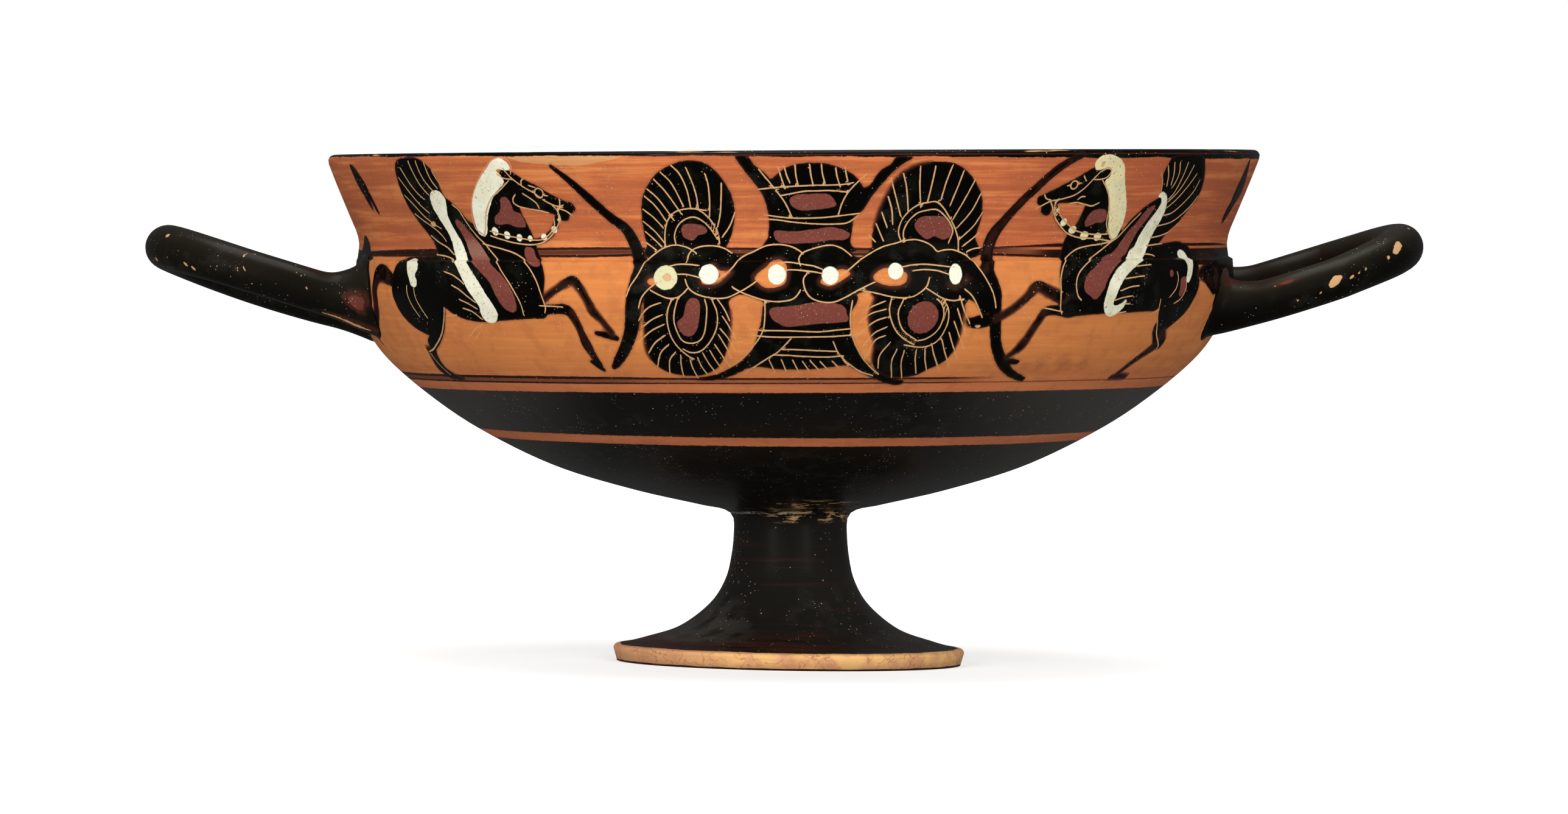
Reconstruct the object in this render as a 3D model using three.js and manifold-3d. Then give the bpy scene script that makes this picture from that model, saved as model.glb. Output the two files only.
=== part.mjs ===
// A kylix, the two-handled Greek drinking cup, of fired clay: a wide thrown bowl whose flaring lip is
// set off by a small ledge, a short stem that spreads into a trumpet foot with a hollow underside, and
// two round loop handles that rise outwards from the widest part of the wall. It is one solid.
// Millimetres, +Z up. The origin is the centre of the foot's resting ring, the handles lie along X,
// and the front of the cup faces -Y.
import * as THREE from "three";
import { mergeVertices } from "three/addons/utils/BufferGeometryUtils.js";
import Module from "manifold-3d";

// Mouth and height
const mouthRadius = 128;
const cupHeight = 140.4;
const lipThickness = 3.4;

// Where the lip meets the bowl
const neckRadius = 119.3;
const neckHeight = 115.5;
const ledgeHeight = 111.4;
const bellyRadius = 121.2;
const bellyHeight = 106;

// Stem and foot
const stemRadius = 15.6;
const stemHeight = 36;
const footRadius = 48.3;
const footEdgeHeight = 4;
const footEdgeTaper = 1;
const ringWidth = 7;
const hollowTop = 31;

// Handles
const rodRadius = 5.7;
const tipSwell = 1.1;
const rootHalfSpan = 28;
const rootOut = 116;
const loopSlope = 0.315;
const leftHandle = { side: -1, reach: 178.3, rootHeight: 97, twistDegrees: -3.6, sagFront: 0.4, sagBack: 1.5 };
const rightHandle = { side: 1, reach: 173.5, rootHeight: 97.9, twistDegrees: 3.4, sagFront: 0.9, sagBack: 0.4 };
const rootFlare = 1.32;
const flareLength = 11;
const flareLift = 1.2;

// The bowl was set on its foot a little out of true, and its lip was trimmed unevenly
const bowlTilt = 0.0193;
const lipTilt = 0.0034;
const axisLean = 0.0068;

// Fineness of the facets
const aroundSteps = 68;
const rodSides = 14;
const rodSteps = 26;

// Points along a smooth curve through the given [radius, height] pairs.
function smooth(pairs, steps) {
  const curve = new THREE.SplineCurve(pairs.map(([r, z]) => new THREE.Vector2(r, z)));
  return curve.getPoints(steps);
}

// Points along a round edge of the given radius, from one angle to another in degrees.
function roundEdge(centre, radius, fromDegrees, toDegrees, steps) {
  const arc = new THREE.Path();
  const from = THREE.MathUtils.degToRad(fromDegrees);
  const to = THREE.MathUtils.degToRad(toDegrees);
  arc.absarc(centre[0], centre[1], radius, from, to, to < from);
  return arc.getPoints(steps);
}

// The underside: a flat resting ring, then a cone that runs up into the stem.
function underside() {
  const ringOuter = footRadius - footEdgeTaper;
  const ringInner = ringOuter - ringWidth;
  const cone = smooth(
    [[0.01, hollowTop], [3.5, hollowTop - 2.5], [8.5, 18], [20, 8], [ringInner - 2, 2.4]],
    6,
  );
  cone[0].x = 0;
  return [...cone, new THREE.Vector2(ringInner, 0), new THREE.Vector2(ringOuter, 0)];
}

// The outside of the foot and stem, from the foot's edge up to the joint with the bowl.
function footAndStem() {
  const edge = roundEdge([footRadius - 1.2, footEdgeHeight - 0.6], 1.2, 0, 70, 1);
  const spread = smooth(
    [[footRadius - 4, 5.05], [39.8, 6.3], [30.2, 9.6], [21.9, 16.1], [17.8, 22.8], [16.2, 29.5],
      [stemRadius, stemHeight], [15.9, 40.2], [18.4, 42.2]],
    10,
  );
  return [...edge, ...spread];
}

// The outside of the bowl, the ledge and the flaring lip, up to the rim.
function outerWall() {
  const bowl = smooth(
    [[24, 43.3], [44, 47.9], [65.4, 54.6], [85.8, 64.7], [100.5, 74.7], [111.9, 84.8], [118, 94],
      [bellyRadius - 0.2, 101.5], [bellyRadius, bellyHeight], [bellyRadius - 0.3, ledgeHeight - 0.4]],
    12,
  );
  const lip = smooth(
    [[neckRadius + 0.4, ledgeHeight + 0.3], [neckRadius, neckHeight], [119.95, 118.6], [121.9, 123.3],
      [125.4, 131.7], [mouthRadius - 0.2, 137.8]],
    6,
  );
  return [...bowl, ...lip];
}

// The inside of the wall, from under the rim down to the middle of the floor.
function insideWall() {
  const inside = smooth(
    [[121.6, 132], [118.1, 123.6], [115.7, 116.8], [115.5, 112.6], [116.4, 107], [115.6, 100],
      [112.2, 91.8], [106.4, 84.2], [96, 75.3], [82, 66.3], [62.5, 57.6], [41, 52.2], [20, 50.3], [0.01, 50]],
    12,
  );
  inside[inside.length - 1].x = 0;
  return inside;
}

// The rounded rim and the inside, which follows the outside at a true wall thickness.
function rimAndInside() {
  const rimRadius = lipThickness / 2;
  const rim = roundEdge([mouthRadius - rimRadius, cupHeight - rimRadius], rimRadius, 10, 165, 2);
  return [...rim, ...insideWall()];
}

// A profile turned about Z.
function turned(profile) {
  return new THREE.LatheGeometry(profile, aroundSteps).rotateX(Math.PI / 2);
}

// The whole thrown body.
function thrownBody() {
  return turned([...underside(), ...footAndStem(), ...outerWall(), ...rimAndInside()]);
}

// The room inside the bowl with a skin of the wall, which trims the inner ends of the handles.
function bowlRoom() {
  const skin = 1.4;
  const wall = insideWall().map((point) => new THREE.Vector2(point.x > 1 ? point.x + skin : 0, point.y));
  return turned([...wall.reverse(), new THREE.Vector2(0, wall[0].y + 1)]);
}

// The middle line of one handle: in from the wall, out along one arm, round the loop and back.
function handleLine({ side, reach, rootHeight, twistDegrees, sagFront, sagBack }) {
  const twist = THREE.MathUtils.degToRad(twistDegrees);
  const tip = reach - rodRadius * tipSwell;
  const arm = [
    [rootOut - 6, rootHalfSpan - 0.6], [rootOut + 3, rootHalfSpan], [rootOut + 16, rootHalfSpan],
    [rootOut + 30, rootHalfSpan - 1], [tip - 15, rootHalfSpan - 4], [tip - 4, 14],
  ];
  const front = arm.map(([out, across]) => [out, -across]);
  const plan = [...front, [tip, 0], ...arm.reverse()];
  const points = plan.map(([out, across]) => {
    const along = (out - rootOut) / (tip - rootOut);
    const sag = (across < 0 ? sagFront : sagBack) * Math.max(0, Math.sin(Math.PI * along));
    const rise = (out - rootOut) * loopSlope + across * Math.sin(twist) - sag;
    return new THREE.Vector3(side * out, across * Math.cos(twist), rootHeight + rise);
  });
  return new THREE.CatmullRomCurve3(points);
}

// A round rod along the handle's line, which swells where it runs into the wall.
function handle(shape) {
  const line = handleLine(shape);
  const section = new THREE.Shape();
  section.absarc(0, 0, rodRadius, 0, 2 * Math.PI);
  const rod = new THREE.ExtrudeGeometry(section, {
    steps: rodSteps,
    curveSegments: rodSides / 2,
    bevelEnabled: false,
    extrudePath: line,
  });
  const place = rod.getAttribute("position");
  const centres = line.getSpacedPoints(rodSteps);
  const point = new THREE.Vector3();
  for (let i = 0; i < place.count; i += 1) {
    point.fromBufferAttribute(place, i);
    let centre = centres[0];
    centres.forEach((other) => {
      if (point.distanceTo(other) < point.distanceTo(centre)) centre = other;
    });
    const outside = Math.max(0, Math.abs(centre.x) - rootOut);
    const near = Math.max(0, 1 - outside / flareLength) ** 2;
    const far = THREE.MathUtils.smoothstep(outside, 30, shape.reach - rootOut);
    point.sub(centre).multiplyScalar(1 + (rootFlare - 1) * near + (tipSwell - 1) * far).add(centre);
    place.setXYZ(i, point.x, point.y, point.z + flareLift * near);
  }
  return rod;
}

// Tilts the bowl and its lip and leans the axis gently, from the top of the foot upwards.
function setOutOfTrue(geometry) {
  const place = geometry.getAttribute("position");
  for (let i = 0; i < place.count; i += 1) {
    const x = place.getX(i);
    const z = place.getZ(i);
    const bowlShare = THREE.MathUtils.smoothstep(z, footEdgeHeight, 60);
    const lipShare = THREE.MathUtils.smoothstep(z, ledgeHeight, cupHeight);
    place.setX(i, x - axisLean * Math.max(0, z - footEdgeHeight) * bowlShare);
    place.setZ(i, z + x * (bowlTilt * bowlShare + lipTilt * lipShare));
  }
  return geometry;
}

const wasm = await Module();
wasm.setup();

// A closed geometry as a solid for joining.
function solidOf(geometry) {
  const bare = new THREE.BufferGeometry();
  bare.setAttribute("position", geometry.getAttribute("position"));
  bare.setIndex(geometry.getIndex());
  const merged = mergeVertices(bare, 1e-4);
  return new wasm.Manifold(new wasm.Mesh({
    numProp: 3,
    vertProperties: merged.getAttribute("position").array,
    triVerts: new Uint32Array(merged.getIndex().array),
  }));
}

// A joined solid back as a geometry.
function geometryOf(solid) {
  const { numProp, vertProperties, triVerts } = solid.getMesh();
  const geometry = new THREE.BufferGeometry();
  const places = new THREE.InterleavedBuffer(new Float32Array(vertProperties), numProp);
  geometry.setAttribute("position", new THREE.InterleavedBufferAttribute(places, 3, 0));
  geometry.setIndex(new THREE.BufferAttribute(new Uint32Array(triVerts), 1));
  return geometry.toNonIndexed();
}

const room = solidOf(bowlRoom());
const joined = [leftHandle, rightHandle].reduce(
  (solid, shape) => solid.add(solidOf(handle(shape)).subtract(room)),
  solidOf(thrownBody()),
);
const form = setOutOfTrue(geometryOf(joined));
form.computeVertexNormals();

const firedClay = new THREE.MeshStandardMaterial({ color: 0x17120f, roughness: 0.34, metalness: 0 });
const cup = new THREE.Mesh(form, firedClay);
cup.name = "cup";

const kylix = new THREE.Group();
kylix.add(cup);

export default kylix;
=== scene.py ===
"""The looks of a kylix, the two-handled Greek drinking cup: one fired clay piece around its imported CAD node.

The thrown body starts as a flat sheet, one edge along the other, that is cut finer where the painter's lines
run and is then rolled round the cup's profile. The handles are pulled rods that run into the wall. The
painting is a drawing of outlines, brush strokes and scratched lines, each worked out on the surface as a
distance in millimetres that the clay's material turns into gloss, added red and white, and bare clay.
Sizes are millimetres until the mesh is finished, and metres from there on.
"""

import math

import bpy
import numpy as np
from mathutils import Matrix, Vector

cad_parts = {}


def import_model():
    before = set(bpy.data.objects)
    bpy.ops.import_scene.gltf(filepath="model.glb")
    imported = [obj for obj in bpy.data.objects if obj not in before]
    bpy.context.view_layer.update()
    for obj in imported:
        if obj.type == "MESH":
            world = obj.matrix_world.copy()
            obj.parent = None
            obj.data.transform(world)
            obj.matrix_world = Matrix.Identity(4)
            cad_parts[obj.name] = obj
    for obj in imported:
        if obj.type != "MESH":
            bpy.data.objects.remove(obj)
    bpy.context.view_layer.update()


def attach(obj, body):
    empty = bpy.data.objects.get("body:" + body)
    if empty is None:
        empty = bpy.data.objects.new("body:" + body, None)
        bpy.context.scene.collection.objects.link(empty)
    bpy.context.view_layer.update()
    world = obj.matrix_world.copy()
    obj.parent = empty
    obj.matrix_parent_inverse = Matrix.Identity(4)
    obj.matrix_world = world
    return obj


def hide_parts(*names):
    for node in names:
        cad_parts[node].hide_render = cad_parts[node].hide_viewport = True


MM = 0.001

# The thrown body's profile, as (radius, height)
UNDERSIDE = [(0, 31), (3.5, 28.5), (8.5, 18), (20, 8), (38.3, 2.4)]
RING = [(40.3, 0), (47.3, 0)]
FOOT_EDGE = {"centre": (47.1, 3.4), "radius": 1.2, "turn": (0, 70)}
SPREAD = [(44.3, 5.05), (39.8, 6.3), (30.2, 9.6), (21.9, 16.1), (17.8, 22.8), (16.2, 29.5), (15.6, 36),
          (15.9, 40.2), (18.4, 42.2)]
BOWL = [(24, 43.3), (44, 47.9), (65.4, 54.6), (85.8, 64.7), (100.5, 74.7), (111.9, 84.8), (118, 94),
        (121, 101.5), (121.2, 106), (120.9, 111)]
LIP = [(119.7, 111.7), (119.3, 115.5), (119.95, 118.6), (121.9, 123.3), (125.4, 131.7), (127.8, 137.8)]
RIM = {"centre": (126.3, 138.7), "radius": 1.7, "turn": (10, 165)}
INSIDE = [(121.6, 132), (118.1, 123.6), (115.7, 116.8), (115.5, 112.6), (116.4, 107), (115.6, 100),
          (112.2, 91.8), (106.4, 84.2), (96, 75.3), (82, 66.3), (62.5, 57.6), (41, 52.2), (20, 50.3),
          (0, 50)]
LEDGE = 111.4
CUP_HEIGHT = 140.4

# The bowl was set on its foot a little out of true, and its lip was trimmed unevenly
FOOT_TOP = 4
TILT_FULL = 60
BOWL_TILT = 0.0193
LIP_TILT = 0.0034
AXIS_LEAN = 0.0068

# Handles: a fillet is its length along the rod and its height; beneath is the flare there, its share of the
# fillet, and the length over which it swells
ROD = 5.7
TIP_SWELL = 1.1
ROOT_SPAN = 28
ROOT_OUT = 116
LOOP_SLOPE = 0.315
LEFT_HANDLE = {"side": -1, "reach": 178.3, "root": 97, "twist": -3.6, "sag_front": 0.4, "sag_back": 1.5,
               "fillet": (9, 5), "beneath": (0.45, 0.12, 18)}
RIGHT_HANDLE = {"side": 1, "reach": 173.5, "root": 97.9, "twist": 3.4, "sag_front": 0.9, "sag_back": 0.4,
                "fillet": (4, 3.4), "beneath": (0.1, 0.3, 11)}

# The sheet that the body is rolled from: arcs are measured at this radius, from the middle of the picture
ARC_RADIUS = 120
HALF_TURN = math.pi * ARC_RADIUS
FRONT = 0.6 * HALF_TURN
PICTURE_TURN = math.radians(2.4)
COLUMNS = 180

# The painted part of the wall lies between these heights, and the back has only these sorts of marks
PAINTED = (72, 142)
BACK_SORTS = ("black", "clay", "red", "white", "thin")

# Distances to marks are worked out up to this far; vertices closer than MERGE are one
REACH = 3.0
MERGE = 0.004

# The painted band at the ledge, as (arc, height) of its upper and lower edge
BAND_TOP = [(-190, 114.2), (-165, 113.6), (-130, 114.3), (-60, 115), (0, 114.8), (45, 114.6), (70, 115.7),
            (150, 115.5), (190, 114.2)]
BAND_LOW = [(-190, 112), (-165, 112.3), (-130, 112.3), (-60, 112.3), (-45, 112.7), (45, 112.7), (70, 111.9),
            (132, 109.6), (160, 109.6), (190, 112)]

# Painted sheen on the handles' upper side, as (millimetres round the rod from its top, share)
LEFT_SHEEN = [(0, 0.95), (4, 0.6), (8, 0.35), (14, 0.15), (18, 0.05)]
RIGHT_SHEEN = [(0, 1.2), (4, 0.9), (7, 0.3), (10, 0.1), (18, 0)]


def smooth_line(points, step=0.5, closed=False):
    """Points close together along a smooth curve through the given ones."""
    given = np.array(points, float)
    if closed:
        given = np.vstack([given[-1], given, given[:2]])
    else:
        given = np.vstack([2 * given[0] - given[1], given, 2 * given[-1] - given[-2]])
    found = []
    for before, start, end, after in zip(given, given[1:], given[2:], given[3:]):
        count = max(1, int(np.linalg.norm(end - start) / step))
        t = (np.arange(count) / count)[:, None]
        pull = 2 * start + (end - before) * t + (2 * before - 5 * start + 4 * end - after) * t ** 2
        found.append(0.5 * (pull + (3 * start - before - 3 * end + after) * t ** 3))
    if not closed:
        found.append(given[-2:-1])
    return np.vstack(found)


def round_edge(centre, radius, turn, steps=10):
    """Points along a rounded edge."""
    angles = np.radians(np.linspace(*turn, steps))
    return np.column_stack([centre[0] + radius * np.cos(angles), centre[1] + radius * np.sin(angles)])


class Art:
    """A drawing on the wall, as (arc, height) points: each sort of mark is kept as a distance of its own."""

    SORTS = ("black", "clay", "thin", "red", "white", "worn", "cut", "cut_too")

    def __init__(self):
        self.marks = {sort: [] for sort in self.SORTS}

    def area(self, sort, *outline):
        """A filled shape with a smooth outline."""
        self.marks[sort].append(("area", smooth_line(outline, 0.5, closed=True), None))

    def dab(self, sort, centre, across, tall=None):
        """A round or oval dab, given by its half sizes."""
        turn = np.linspace(0, 2 * math.pi, 16, endpoint=False)
        ring = np.column_stack([across * np.cos(turn), (tall or across) * np.sin(turn)]) + centre
        self.marks[sort].append(("area", ring, None))

    def stroke(self, sort, *points):
        """A brush stroke through (arc, height, width) points."""
        line = smooth_line(points, 0.7)
        self.marks[sort].append(("stroke", line[:, :2], np.maximum(line[:, 2], 0.2) / 2))

    def cut(self, *points):
        """A line scratched through the glaze to the clay; neighbours are kept apart as two sorts."""
        first = len(self.marks["cut"]) <= len(self.marks["cut_too"])
        self.marks["cut" if first else "cut_too"].append(("line", smooth_line(points, 0.6), None))

    def ring(self, centre, radius, squash=1.0):
        """A scratched circle."""
        turn = np.linspace(0, 2 * math.pi, 15)
        self.cut(*(np.column_stack([radius * np.cos(turn), squash * radius * np.sin(turn)]) + centre))

    def moved(self, place):
        """The same drawing with every point put through `place`."""
        other = Art()
        for sort, marks in self.marks.items():
            other.marks[sort] = [(kind, place(line), width) for kind, line, width in marks]
        return other


def to_line(at, line, width, closed):
    """Distance from points to a line, and on which side of it they are."""
    start = line if closed else line[:-1]
    end = np.roll(line, -1, axis=0) if closed else line[1:]
    run = end - start
    long = np.maximum((run ** 2).sum(1), 1e-9)
    best = np.full(len(at), 1e9)
    side = np.ones(len(at))
    inside = np.zeros(len(at), bool)
    half = None if width is None else (width[:-1], width[1:])
    for index in range(len(start)):
        gap = at - start[index]
        share = np.clip((gap @ run[index]) / long[index], 0, 1)
        off = gap - share[:, None] * run[index]
        away = np.hypot(off[:, 0], off[:, 1])
        if half is not None:
            away = away - (half[0][index] * (1 - share) + half[1][index] * share)
        nearer = away < best
        best[nearer] = away[nearer]
        turned = run[index, 0] * gap[:, 1] - run[index, 1] * gap[:, 0]
        side[nearer] = np.where(turned[nearer] < 0, -1, 1)
        if closed:
            crossing = (start[index, 1] > at[:, 1]) != (end[index, 1] > at[:, 1])
            rise = run[index, 1] if run[index, 1] else 1e-9
            inside ^= crossing & (gap[:, 0] < run[index, 0] * gap[:, 1] / rise)
    if closed:
        best = np.where(inside, -best, best)
    return best, side


def nearest_mark(marks, at):
    """The least distance from each point to any of the marks, and the side of the nearest one."""
    best = np.full(len(at), REACH)
    side = np.ones(len(at))
    order = np.argsort(at[:, 0])
    arcs = at[order, 0]
    for kind, line, width in marks:
        low, high = line.min(0) - REACH, line.max(0) + REACH
        near = order[np.searchsorted(arcs, low[0]):np.searchsorted(arcs, high[0])]
        near = near[(at[near, 1] > low[1]) & (at[near, 1] < high[1])]
        if len(near) == 0:
            continue
        away, which = to_line(at[near], line, width, kind == "area")
        nearer = away < best[near]
        best[near[nearer]] = away[nearer]
        side[near[nearer]] = which[nearer]
    return np.maximum(best, -REACH), side


def left_horse(art):
    """The winged horse left of the middle, which trots to the right: its body, wing and legs in black."""
    art.area("black", (-136.6, 106), (-136.6, 102.6), (-135.8, 99.5), (-134.6, 97), (-132, 94.5),
             (-128.5, 92.6), (-124, 91.2), (-120.5, 91.3), (-118, 92.5), (-115, 94.8), (-112.8, 97.2),
             (-111.5, 98.8), (-109, 97.6), (-106, 96.3), (-102, 95.4), (-96, 95), (-84, 95.7), (-79, 96),
             (-74.5, 96.3), (-73.9, 99), (-73.8, 103), (-73.6, 106.5), (-74.5, 110), (-76.4, 113),
             (-78, 116), (-79, 119.5), (-79.7, 122), (-80.6, 124.7), (-81, 128), (-84, 132.5), (-87, 130.5),
             (-90, 127.5), (-92.5, 124), (-94, 120.8), (-95.5, 118.5), (-100, 117), (-105, 115),
             (-112, 113), (-120, 112.5), (-127, 112.3), (-130.4, 112), (-133.6, 110.8), (-135.8, 108.6))
    art.area("black", (-84, 135.5), (-81.3, 135.5), (-77, 133), (-74, 131.6), (-70, 129.2), (-66.5, 127.5),
             (-64.2, 126.8), (-63.4, 125.2), (-64.3, 124.2), (-65.6, 123.5), (-66, 122.2), (-68, 122),
             (-69.3, 123), (-70.7, 123.9), (-74, 124.5), (-77.5, 125.3), (-80, 125.6), (-81.6, 125.3),
             (-85, 127), (-86.5, 131))
    art.area("black", (-124.5, 136.5), (-122.5, 138.6), (-119, 139.4), (-115, 139.4), (-111.5, 138.2),
             (-109, 136.2), (-107.6, 133.8), (-107.3, 131.2), (-106.6, 128.6), (-104.5, 127), (-102.3, 125),
             (-100.5, 122.5), (-97.5, 120.5), (-95.5, 118.5), (-94, 115), (-100, 108), (-110, 108),
             (-115, 112.8), (-116.5, 115), (-118.5, 117.5), (-120.7, 120), (-122.8, 123), (-124.5, 126),
             (-125.3, 129.5), (-125.3, 133))
    # Forelegs with their hoofs, then the hind leg
    for leg in (
        [(-76, 100.5, 3), (-74, 101.3, 2), (-70, 103.8, 2), (-65.3, 106.2, 2.6), (-63, 104.5, 2.4),
         (-61, 101.5, 2.2), (-59.5, 98, 2.6), (-57.3, 95.5, 1.8), (-55.3, 92.3, 1.8)],
        [(-59.9, 92.3, 1.2), (-57, 91.8, 1.9), (-54, 90.9, 1.4)],
        [(-76, 98.2, 3), (-71, 98.6, 2.6), (-67.3, 98.4, 3), (-65.5, 96, 2.4), (-64.5, 92.5, 2.2),
         (-63.9, 89.3, 3), (-62.9, 86.3, 2.2), (-62.4, 84, 2.4)],
        [(-64.2, 84.6, 1.2), (-62.6, 83.6, 2), (-61.5, 82.5, 1.2)],
    ):
        art.stroke("black", *leg)
    art.area("black", (-111, 98.4), (-112.5, 95.6), (-115.4, 92.2), (-118.6, 90), (-122, 88.2),
             (-124.6, 87), (-126.1, 85.1), (-126.8, 83.4), (-126.6, 82), (-124.6, 80.6), (-121.2, 79.7),
             (-124, 79), (-129, 79.2), (-131.6, 80.5), (-132.3, 82), (-131.8, 83.4), (-130.5, 85.1),
             (-129.8, 86.4), (-129.4, 88), (-127, 88.2), (-126.4, 89.6), (-124, 91.2), (-118, 95),
             (-112, 99))
    # Tail, and the glaze round the handle's root that it runs into
    art.area("black", (-136, 107.2), (-139, 108.8), (-143, 110.2), (-147, 110), (-149.8, 108.2),
             (-151, 105), (-151.4, 101.5), (-151, 99.4), (-148.6, 99.6), (-147.6, 102), (-146.6, 104.4),
             (-144.6, 105.4), (-141, 105), (-136.5, 104.4))
    art.stroke("black", (-149.7, 102.4, 3.2), (-150.6, 99.6, 3.2), (-152.6, 97.3, 3), (-155.6, 95.5, 3),
               (-159.6, 93.4, 2.8), (-163.6, 91.5, 2.2), (-165.6, 89.8, 1.5), (-164.6, 88.2, 0.7))
    for thin in (
        [(-137.5, 106.2, 2.4), (-143, 107.3, 4.5), (-148.5, 104.5, 3.4), (-151, 99, 3), (-157, 95, 2)],
        [(-128, 87.6, 3), (-129, 84, 4), (-128, 81, 3), (-123, 79.4, 2)],
        [(-75, 100.8, 2), (-68, 105, 2), (-63, 104, 2.4), (-60, 99, 2.4), (-55.3, 92, 2)],
        [(-66, 97.5, 2), (-64.5, 92.5, 1.6), (-63, 86, 2)],
    ):
        art.stroke("thin", *thin)


def left_horse_colours(art):
    """Its white mane, wing edge, rump and bridle, and its red neck, cheek and wing."""
    art.area("white", (-97.8, 119.5), (-97.8, 123), (-96.8, 126.7), (-94.8, 130), (-92, 133),
             (-89.5, 135.3), (-87.5, 137), (-86, 138.2), (-83.5, 138.8), (-81.8, 138), (-80.7, 136.6),
             (-81, 135.8), (-82.5, 135.5), (-84.5, 136), (-85.6, 135.6), (-84.6, 134.7), (-83.8, 133.2),
             (-83.8, 132.2), (-85.5, 130.9), (-88, 129), (-90, 126.8), (-92, 124), (-93.3, 121.5),
             (-94.5, 118.6), (-96, 118), (-97.2, 118.4))
    art.area("white", (-112.8, 128.5), (-111.5, 130), (-109.5, 130.3), (-107.5, 129.5), (-106.7, 127.5),
             (-107.3, 125.5), (-107.8, 123), (-107, 120), (-105.7, 117.5), (-103.5, 114), (-101, 110.5),
             (-97, 106.5), (-94, 103), (-91.8, 100), (-90.7, 97.8), (-91.2, 96), (-92.8, 94.9),
             (-94.8, 94.8), (-96.5, 96), (-97, 97.7), (-96.8, 99), (-98, 101), (-101, 104.5),
             (-104.5, 108.8), (-107, 112), (-108.7, 115.5), (-110.3, 119.5), (-112, 123), (-113, 126))
    art.area("white", (-128.5, 111), (-127, 111.8), (-124, 111.4), (-122.7, 110.2), (-123, 108.8),
             (-124, 107.5), (-123, 106), (-123, 104.6), (-124.5, 104.2), (-126, 105), (-127.3, 107),
             (-128.3, 109))
    art.area("red", (-105.7, 121.5), (-104.5, 122.5), (-103, 121.5), (-101, 119), (-98.5, 116.5),
             (-95.5, 113.5), (-92, 110.5), (-88, 107.5), (-85, 104.5), (-83.5, 101.5), (-83.5, 98.8),
             (-84.5, 97.8), (-86.5, 98), (-88.5, 99.5), (-90.5, 103), (-92.5, 106), (-96, 108.5),
             (-100, 111.5), (-102.3, 114.5), (-104, 118))
    art.area("red", (-86.5, 127.8), (-85.3, 128.5), (-84, 128.2), (-83.2, 126.5), (-83, 124.8), (-81, 124),
             (-80.2, 122.3), (-80.2, 120.6), (-82, 120.3), (-84, 120.6), (-86, 121.2), (-88.5, 121),
             (-90.3, 121.3), (-90, 123), (-88, 124.3), (-87, 125.8))
    art.area("red", (-81.5, 114.8), (-80, 115), (-78.5, 114.3), (-77.5, 112.3), (-75.5, 111), (-75.5, 110),
             (-77.5, 110), (-79.5, 111), (-81.3, 112.8))
    art.area("worn", (-116.6, 121.2), (-115.4, 121.9), (-114, 121.5), (-114.2, 120.6), (-115.6, 120.4))
    # Bridle beads
    for arc, height, size in ((-91.3, 119.2, 1.1), (-87.3, 118.2, 1.05), (-83.2, 117.5, 0.95),
                              (-79.6, 117.3, 0.8), (-75, 117.7, 0.95), (-71.3, 119.7, 1),
                              (-69.1, 122.3, 0.5)):
        art.dab("white", (arc, height), size)
    # Reins, black where they cross the clay
    art.stroke("black", (-80, 116.4, 1.8), (-76, 116.7, 1.8), (-72.6, 118.5, 1.8), (-70.4, 121, 1.8),
               (-69.6, 123, 1.6))


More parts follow.
